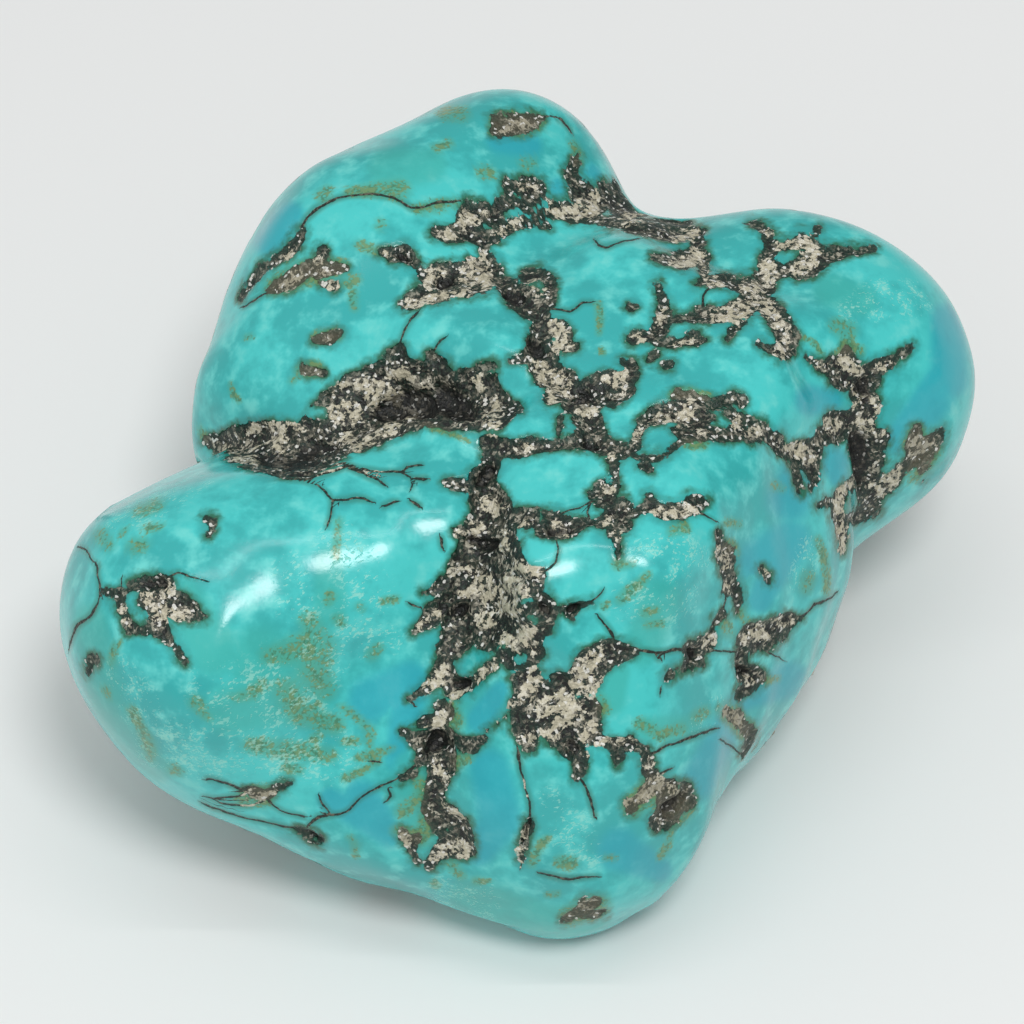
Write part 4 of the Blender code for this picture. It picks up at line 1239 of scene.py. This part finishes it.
# drop of the surface along its normal: rock step and sag and pits, less grains and crystals
def cutRelief(stone):
    rockShare = smoothStep(stone["patchDepth"], *relief["stepEdge"])
    drop = relief["rockStep"] * rockShare
    drop += relief["rockSag"] * smoothStep(stone["patchDepth"], *relief["sagEdge"])
    drop += relief["pitDepth"] * stone["pit"]
    for seed, (height, wavelength) in enumerate(relief["grains"], relief["grainSeed"]):
        drop -= height * rockShare * (2 * latticeNoise(stone["points"], wavelength, seed) - 1)
    drop -= relief["creamRise"] * rockShare * smoothStep(stone["creamDepth"], *relief["creamEdge"])
    drop *= np.clip(stone["points"][:, 2] / form["fadeHeight"], 0, 1)
    points = stone["points"] - stone["normals"] * drop[:, None]
    points[stone["points"][:, 2] < relief["restingHeight"], 2] = 0.0
    return np.clip(points, np.array(cadLow) / mm, np.array(cadHigh) / mm)


def markStone(points, quads):
    normals = vertexNormals(points, quads)
    stone = {"points": points, "normals": normals, "pixels": pixelOf(points),
             "seen": seenShare(points, normals)}
    stone["patchDepth"] = np.minimum(strokeDepth(stone, patches), -strokeDepth(stone, islands))
    stone["creamDepth"] = strokeDepth(stone, creams)
    stone["veinOffset"], stone["veinGap"], stone["veinHalf"] = veinLayout(stone, veins)
    stone["pit"] = strokeShade(stone, pits)
    stone["stain"] = np.maximum(strokeShade(stone, stains, marking["stainSpread"]),
                                strokeShade(stone, fadedRock))
    stone["rub"] = strokeShade(stone, rubs)
    # tone: partly the stone's own colour, partly painted shade on the lower and side faces
    stone["tone"] = strokeShade(stone, bluerAndShaded) - strokeShade(stone, greenerAndShaded)
    paintHiddenSides(stone)
    print("markings laid on the stone")
    return stone


def makeMesh(name, points, quads, attributes):
    mesh = bpy.data.meshes.new(name)
    mesh.vertices.add(len(points))
    mesh.vertices.foreach_set("co", (points * mm).astype(np.float32).ravel())
    mesh.loops.add(quads.size)
    mesh.loops.foreach_set("vertex_index", quads.astype(np.int32).ravel())
    mesh.polygons.add(len(quads))
    mesh.polygons.foreach_set("loop_start", np.arange(0, quads.size, 4, dtype=np.int32))
    mesh.update(calc_edges=True)
    mesh.validate()
    mesh.shade_smooth()
    for key, values in attributes.items():
        layer = mesh.attributes.new(key, "FLOAT", "POINT")
        layer.data.foreach_set("value", values.astype(np.float32))
    piece = bpy.data.objects.new(name, mesh)
    scene.collection.objects.link(piece)
    return piece


# a shader value: sums, products and differences of it become Math nodes
class Wire:
    def __init__(self, paint, socket):
        self.paint, self.socket = paint, socket

    def math(self, operation, *values):
        return self.paint.node("Math", {"operation": operation}, dict(enumerate(values)))

    def __add__(self, other):
        return self.math("ADD", self, other)

    def __sub__(self, other):
        return self.math("SUBTRACT", self, other)

    def __rsub__(self, other):
        return self.math("SUBTRACT", other, self)

    def __mul__(self, other):
        return self.math("MULTIPLY", self, other)

    def __abs__(self):
        return self.math("ABSOLUTE", self)

    def atLeast(self, other):
        return self.math("MAXIMUM", self, other)

    # smooth step from 0 at low to 1 at high, which may be numbers or wires
    def step(self, low, high):
        return self.paint.node("MapRange", {"interpolation_type": "SMOOTHSTEP"},
                               {"Value": self, "From Min": low, "From Max": high})

    __radd__, __rmul__ = __add__, __mul__


# one material and the nodes that feed its shader
class Paint:
    def __init__(self, name):
        self.material = bpy.data.materials.new(name)
        self.material.use_nodes = True
        self.tree = self.material.node_tree
        self.shader = self.tree.nodes["Principled BSDF"]
        position = self.node("TexCoord", {}, {}, "Object")
        self.place = self.node("VectorMath", {"operation": "SCALE"},
                               {0: position, "Scale": 1 / mm})

    def fill(self, node, sockets):
        for key, value in sockets.items():
            if isinstance(value, Wire):
                self.tree.links.new(value.socket, node.inputs[key])
            else:
                node.inputs[key].default_value = value

    def node(self, kind, settings, sockets, output=0):
        made = self.tree.nodes.new("ShaderNode" + kind)
        for key, value in settings.items():
            if key == "stops":
                while len(made.color_ramp.elements) < len(value):
                    made.color_ramp.elements.new(1.0)
                for element, (position, colour) in zip(made.color_ramp.elements, value):
                    element.position, element.color = position, (*colour, 1)
            elif key == "steps":
                made.color_ramp.interpolation = value
            else:
                setattr(made, key, value)
        self.fill(made, sockets)
        return Wire(self, made.outputs[output])

    def attribute(self, name):
        return self.node("Attribute", {"attribute_name": name}, {}, "Fac")

    def noise(self, wavelength, detail=2.0, place=None):
        return self.node("TexNoise", {}, {"Vector": place or self.place, "Scale": 1 / wavelength,
                                          "Detail": detail, "Roughness": texture["noiseRoughness"]})

    # a random number for each grain
    def grains(self, size, place=None):
        colour = self.node("TexVoronoi", {}, {"Vector": place or self.place, "Scale": 1 / size},
                           "Color")
        return self.node("SeparateColor", {}, {0: colour})

    # a place moved by a share of an offset
    def shift(self, place, offset, share):
        scaled = self.node("VectorMath", {"operation": "SCALE"}, {0: offset, "Scale": share})
        return self.node("VectorMath", {"operation": "ADD"}, {0: place, 1: scaled})

    def swirl(self, scale):
        return self.node("TexNoise", {}, {"Vector": self.place, "Scale": scale}, "Color")

    def mix(self, factor, first, second):
        colours = [value if isinstance(value, Wire) else (*value, 1) for value in (first, second)]
        return self.node("Mix", {"data_type": "RGBA"},
                         {0: factor, 6: colours[0], 7: colours[1]}, 2)

    def ramp(self, value, stops, steps="LINEAR"):
        return self.node("ValToRGB", {"stops": stops, "steps": steps}, {0: value})


turquoise = {
    "deep": (0.036, 0.420, 0.415),
    "plain": (0.066, 0.59, 0.57),
    "pale": (0.200, 0.72, 0.66),
    # blue and green: partly the stone's own tones, partly darker painted shade on the faces turned from
    # the light
    "blueAndShade": (0.016, 0.37, 0.46),
    "green": (0.045, 0.43, 0.375),
    "halo": (0.024, 0.150, 0.090),
    "stainDark": (0.045, 0.150, 0.065),
    "stainGold": (0.175, 0.255, 0.085),
    "olive": (0.095, 0.340, 0.190),
    "rub": (0.36, 0.74, 0.62),
    "roughness": 0.19,
    "ior": 1.46,
}
rock = {
    "palette": [(0.00, (0.003, 0.004, 0.0035)), (0.30, (0.009, 0.012, 0.010)),
                (0.44, (0.016, 0.036, 0.024)), (0.54, (0.055, 0.058, 0.042)),
                (0.64, (0.14, 0.135, 0.105)), (0.78, (0.42, 0.40, 0.32))],
    "cream": [(0.20, (0.16, 0.145, 0.10)), (0.36, (0.36, 0.34, 0.25)),
              (0.58, (0.55, 0.51, 0.375)), (0.82, (0.70, 0.67, 0.56))],
    "rim": (0.008, 0.050, 0.032),
    "faded": (0.15, 0.135, 0.085),
    # near-black painted shade in the pits
    "pit": (0.003, 0.003, 0.003),
    "vein": (0.012, 0.020, 0.013),
    "veinPale": (0.17, 0.16, 0.11),
    # near-white painted highlight: glints on scattered grains
    "paintedGlint": (0.85, 0.85, 0.80),
    "roughness": 0.55,
}
texture = {
    # wavelength in mm and detail of each noise
    "noises": {"broad": (7.0, 2.0), "middling": (1.5, 3.0), "fine": (0.42, 3.0),
               "ragged": (1.0, 2.0), "crumbs": (0.22, 1.0)},
    "inclusions": (0.46, 6.0),
    "streaks": (0.17, 2.0),
    "noiseRoughness": 0.55,
    "bigGrains": 0.50,       # mm
    "smallGrains": 0.19,
    "swirl": (2.6, 0.28),    # waves to a mm, and the share of it by which the grains are bent
    "streakTurn": 27,        # degrees from level, as the camera sees it
    "streakStretch": -0.45,
}
markNames = ("patchDepth", "creamDepth", "veinOffset", "veinGap", "veinHalf", "pit", "stain",
             "rub", "tone")


# the marks laid on the mesh and the noises, as shader values
def readMarks(paint):
    marks = SimpleNamespace(**{name: paint.attribute(name) for name in markNames})
    for name, (wavelength, detail) in texture["noises"].items():
        setattr(marks, name, paint.noise(wavelength, detail))
    scale, share = texture["swirl"]
    marks.bent = paint.shift(paint.place, paint.swirl(scale), share)
    marks.big = paint.grains(texture["bigGrains"], marks.bent)
    marks.small = paint.grains(texture["smallGrains"], marks.bent)
    # depth inside the patches once their edges are made ragged
    marks.edge = (marks.patchDepth + 0.06 + 0.75 * (marks.ragged - 0.5)
                  + 0.22 * (marks.fine - 0.5) + 0.08 * (marks.small - 0.5))
    return marks


# 1 on the veins: their middle lines wander and their widths come and go
def veinShare(marks):
    wandering = abs(marks.veinOffset + 0.24 * (marks.ragged - 0.5))
    width = marks.veinHalf * (0.40 * marks.middling + 0.85 * (marks.fine - 0.28))
    gate = (marks.veinGap - marks.veinHalf).step(0.24, 0.10)
    return (wandering - width).step(0.05, -0.02) * gate * marks.veinHalf.step(0.02, 0.06)


# 1 on the bruises: short pale streaks, all at the same slant
def rubShare(paint, marks):
    slant = radians(texture["streakTurn"])
    along = tuple(lookRight * cos(slant) + lookUp * sin(slant))
    travel = paint.node("VectorMath", {"operation": "DOT_PRODUCT"}, {0: paint.place, 1: along},
                        "Value")
    place = paint.shift(marks.bent, along, travel * texture["streakStretch"])
    streaks = paint.noise(*texture["streaks"], place)
    worn = streaks + 0.7 * (marks.middling - 0.5) + 0.3 * (marks.fine - 0.5)
    return worn.step(0.56, 0.68) * marks.rub


# turquoise: mottled, bluer and greener in places (partly painted shade on the lower and side faces),
# darker beside the rock, stained and rubbed in places
def turquoiseColour(paint, marks, rubbed):
    mottling = (marks.broad + 0.7 * (marks.middling - 0.5)).step(0.34, 0.62)
    colour = paint.mix(mottling, turquoise["deep"], turquoise["plain"])
    colour = paint.mix(marks.middling.step(0.50, 0.78) * 0.6, colour, turquoise["pale"])
    # bluer and greener where the tone strokes lie: partly real colour, partly painted shade on faces
    # turned from the light
    colour = paint.mix(marks.tone.step(0.0, 1.0) * 0.75, colour, turquoise["blueAndShade"])
    colour = paint.mix((0 - marks.tone).step(0.0, 1.0) * 0.65, colour, turquoise["green"])
    nearRock = marks.edge.step(-0.60, 0.04) * (0.35 + marks.middling.step(0.30, 0.60))
    nearVein = (marks.veinGap - marks.veinHalf).step(0.30, -0.05)
    nearVein = nearVein * marks.veinHalf.step(0.02, 0.08) * (0.2 + 0.9 * marks.middling)
    colour = paint.mix(nearRock.atLeast(nearVein) * 0.85, colour, turquoise["halo"])
    cloud = marks.stain * (0.05 + 1.1 * marks.middling)
    colour = paint.mix(cloud, colour, turquoise["olive"])
    stainColour = paint.mix(marks.fine.step(0.40, 0.60), turquoise["stainDark"],
                            turquoise["stainGold"])
    speckle = (0.60 * marks.stain + 1.6 * (marks.crumbs - 0.5) + 1.3 * (marks.middling - 0.5)
               + 1.0 * (marks.fine - 0.5))
    speckle = speckle.step(0.36, 0.74) * marks.stain.step(0.0, 0.3) * 0.7
    colour = paint.mix(speckle, colour, stainColour)
    return paint.mix(rubbed * 0.55, colour, turquoise["rub"])


# 1 on the pale crystals of the rock, which have dark inclusions
def creamShare(paint, marks):
    edge = (marks.creamDepth + 0.10 + 0.8 * (marks.fine - 0.5) + 0.30 * (marks.big - 0.5)
            + 0.22 * (marks.small - 0.5))
    inclusions = paint.noise(*texture["inclusions"], marks.bent)
    return edge.step(-0.06, 0.06) * (inclusions + 0.08 * (marks.small - 0.5)).step(0.555, 0.525)


def creamColour(paint, marks):
    shade = (0.25 * marks.big + 0.20 * marks.small + 0.5 * (marks.crumbs - 0.5)
             + 0.6 * (marks.fine - 0.5) + 0.38)
    return paint.ramp(shade, rock["cream"])


# rock: grains of charcoal, dark green, grey and cream, bleached where stained, painted near-black shade
# in the pits, painted white glints on scattered grains
def rockColour(paint, marks, cream, creamMask, paintedGlint, pitAndShade):
    mottle = (0.27 * marks.big + 0.52 * marks.small + 0.50 * (marks.middling - 0.5)
              + 0.45 * (marks.crumbs - 0.5) + 0.08)
    colour = paint.ramp(mottle, rock["palette"])
    colour = paint.mix(marks.edge.step(0.45, 0.0) * 0.6, colour, rock["rim"])
    colour = paint.mix(creamMask, colour, cream)
    colour = paint.mix(marks.stain * (0.45 + 0.5 * (marks.fine - 0.5)), colour, rock["faded"])
    colour = paint.mix(pitAndShade * 0.8, colour, rock["pit"])
    return paint.mix(paintedGlint * 0.7, colour, rock["paintedGlint"])


def veinColour(paint, marks, cream, creamMask):
    paleGrains = (marks.crumbs + 0.3 * (marks.small - 0.5)).step(0.52, 0.72) * 0.7
    colour = paint.mix(paleGrains, rock["vein"], rock["veinPale"])
    return paint.mix(creamMask, colour, cream)


# heights in mm: the polish is nearly flat, and the rock is sunk and grainy
def surfaceHeight(marks, rubbed, rockMask, creamMask):
    polish = (0.006 * (marks.fine - 0.5) + 0.003 * (marks.crumbs - 0.5)
              + 0.04 * (marks.broad - 0.5) - 0.012 * rubbed)
    grit = 0.10 * (marks.big - 0.5) + 0.11 * (marks.small - 0.5) + 0.12 * (marks.crumbs - 0.5)
    return polish + rockMask * (grit - 0.06 + 0.05 * creamMask)


def paintStone():
    paint = Paint("polishedTurquoise")
    marks = readMarks(paint)
    patchMask, veinMask = marks.edge.step(-0.05, 0.05), veinShare(marks)
    rockMask, creamMask = patchMask.atLeast(veinMask), creamShare(paint, marks)
    rubbed, cream = rubShare(paint, marks), creamColour(paint, marks)
    # pits: painted near-black as shade in the holes, on top of their real sinking
    pitAndShade = (marks.pit + 0.9 * (marks.fine - 0.5) + 0.4 * (marks.small - 0.5)).step(0.40, 0.75)
    # painted glints: near-white colour standing in for sparkle on scattered grains, which are also less
    # rough
    paintedGlint = marks.small.step(0.945, 0.955) * (1 - 0.6 * pitAndShade)
    colour = turquoiseColour(paint, marks, rubbed)
    colour = paint.mix(veinMask, colour, veinColour(paint, marks, cream, creamMask))
    colour = paint.mix(patchMask, colour, rockColour(paint, marks, cream, creamMask, paintedGlint, pitAndShade))
    roughness = turquoise["roughness"] + 0.12 * (marks.middling - 0.4) + 0.30 * rubbed
    rockRoughness = rock["roughness"] - 0.30 * paintedGlint + 0.25 * (marks.small - 0.5)
    roughness = roughness + rockMask * (rockRoughness - roughness)
    height = surfaceHeight(marks, rubbed, rockMask, creamMask)
    normal = paint.node("Bump", {}, {"Strength": 1.0, "Distance": mm, "Height": height})
    paint.fill(paint.shader, {"Base Color": colour, "Roughness": roughness, "Normal": normal})
    paint.shader.inputs["IOR"].default_value = turquoise["ior"]
    return paint.material


floorLook = {
    "halfSide": 2.0,         # m
    "depth": -0.0001,
    "colour": (0.835, 0.845, 0.84, 1),
    "roughness": 0.9,
}


def makeFloor():
    side, depth = floorLook["halfSide"], floorLook["depth"]
    mesh = bpy.data.meshes.new("floor")
    corners = [(-side, -side), (side, -side), (side, side), (-side, side)]
    mesh.from_pydata([(x, y, depth) for x, y in corners], [], [(0, 1, 2, 3)])
    floor = bpy.data.objects.new("floor", mesh)
    scene.collection.objects.link(floor)
    paint = Paint("floorPaper")
    paint.fill(paint.shader, {"Base Color": floorLook["colour"],
                              "Roughness": floorLook["roughness"]})
    mesh.materials.append(paint.material)


studio = {
    "brightSide": (-0.52, -0.24, 0.82),    # direction that most light comes from
    # brightness against the cosine to that side, from -1 to 1 mapped on 0 to 1
    "sky": [(0.15, 0.20), (0.42, 0.52), (0.72, 0.86), (1.00, 1.22)],
    "strength": 0.575,
    # position (mm), power (W), length and width (mm)
    "lamps": {"key": ((60, -170, 400), 0.72, 122, 122), "strip": ((0, 0, 600), 0.46, 520, 10)},
}


def makeLights():
    world = bpy.data.worlds.new("studio")
    scene.world = world
    world.use_nodes = True
    tree = world.node_tree
    sky = tree.nodes["Background"]
    position = tree.nodes.new("ShaderNodeTexCoord")
    cosine = tree.nodes.new("ShaderNodeVectorMath")
    cosine.operation = "DOT_PRODUCT"
    cosine.inputs[1].default_value = studio["brightSide"]
    share = tree.nodes.new("ShaderNodeMapRange")
    share.inputs["From Min"].default_value = -1
    ramp = tree.nodes.new("ShaderNodeValToRGB")
    ramp.color_ramp.interpolation = "EASE"
    while len(ramp.color_ramp.elements) < len(studio["sky"]):
        ramp.color_ramp.elements.new(1.0)
    for element, (stop, brightness) in zip(ramp.color_ramp.elements, studio["sky"]):
        element.position, element.color = stop, (brightness, brightness, brightness, 1)
    tree.links.new(position.outputs["Generated"], cosine.inputs[0])
    tree.links.new(cosine.outputs["Value"], share.inputs["Value"])
    tree.links.new(share.outputs["Result"], ramp.inputs[0])
    tree.links.new(ramp.outputs[0], sky.inputs["Color"])
    sky.inputs["Strength"].default_value = studio["strength"]
    for name, (place, power, length, width) in studio["lamps"].items():
        data = bpy.data.lights.new(name, "AREA")
        data.energy = power
        data.shape = "ELLIPSE" if length == width else "RECTANGLE"
        data.size, data.size_y = length * mm, width * mm
        lamp = bpy.data.objects.new(name, data)
        lamp.location = Vector(place) * mm
        aim = Vector((0, 0, camera["target"][2])) * mm - lamp.location
        lamp.rotation_euler = aim.to_track_quat("-Z", "Y").to_euler()
        scene.collection.objects.link(lamp)


makeCamera()
points, quads = stoneMesh()
stone = markStone(points, quads)
marks = {name: stone[name] for name in markNames}
nugget = makeMesh("turquoiseNugget", cutRelief(stone), quads, marks)
nugget.data.materials.append(paintStone())
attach(nugget, "root")
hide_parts("turquoise_nugget")
print("nugget made and painted")
makeFloor()
makeLights()
print("studio made")
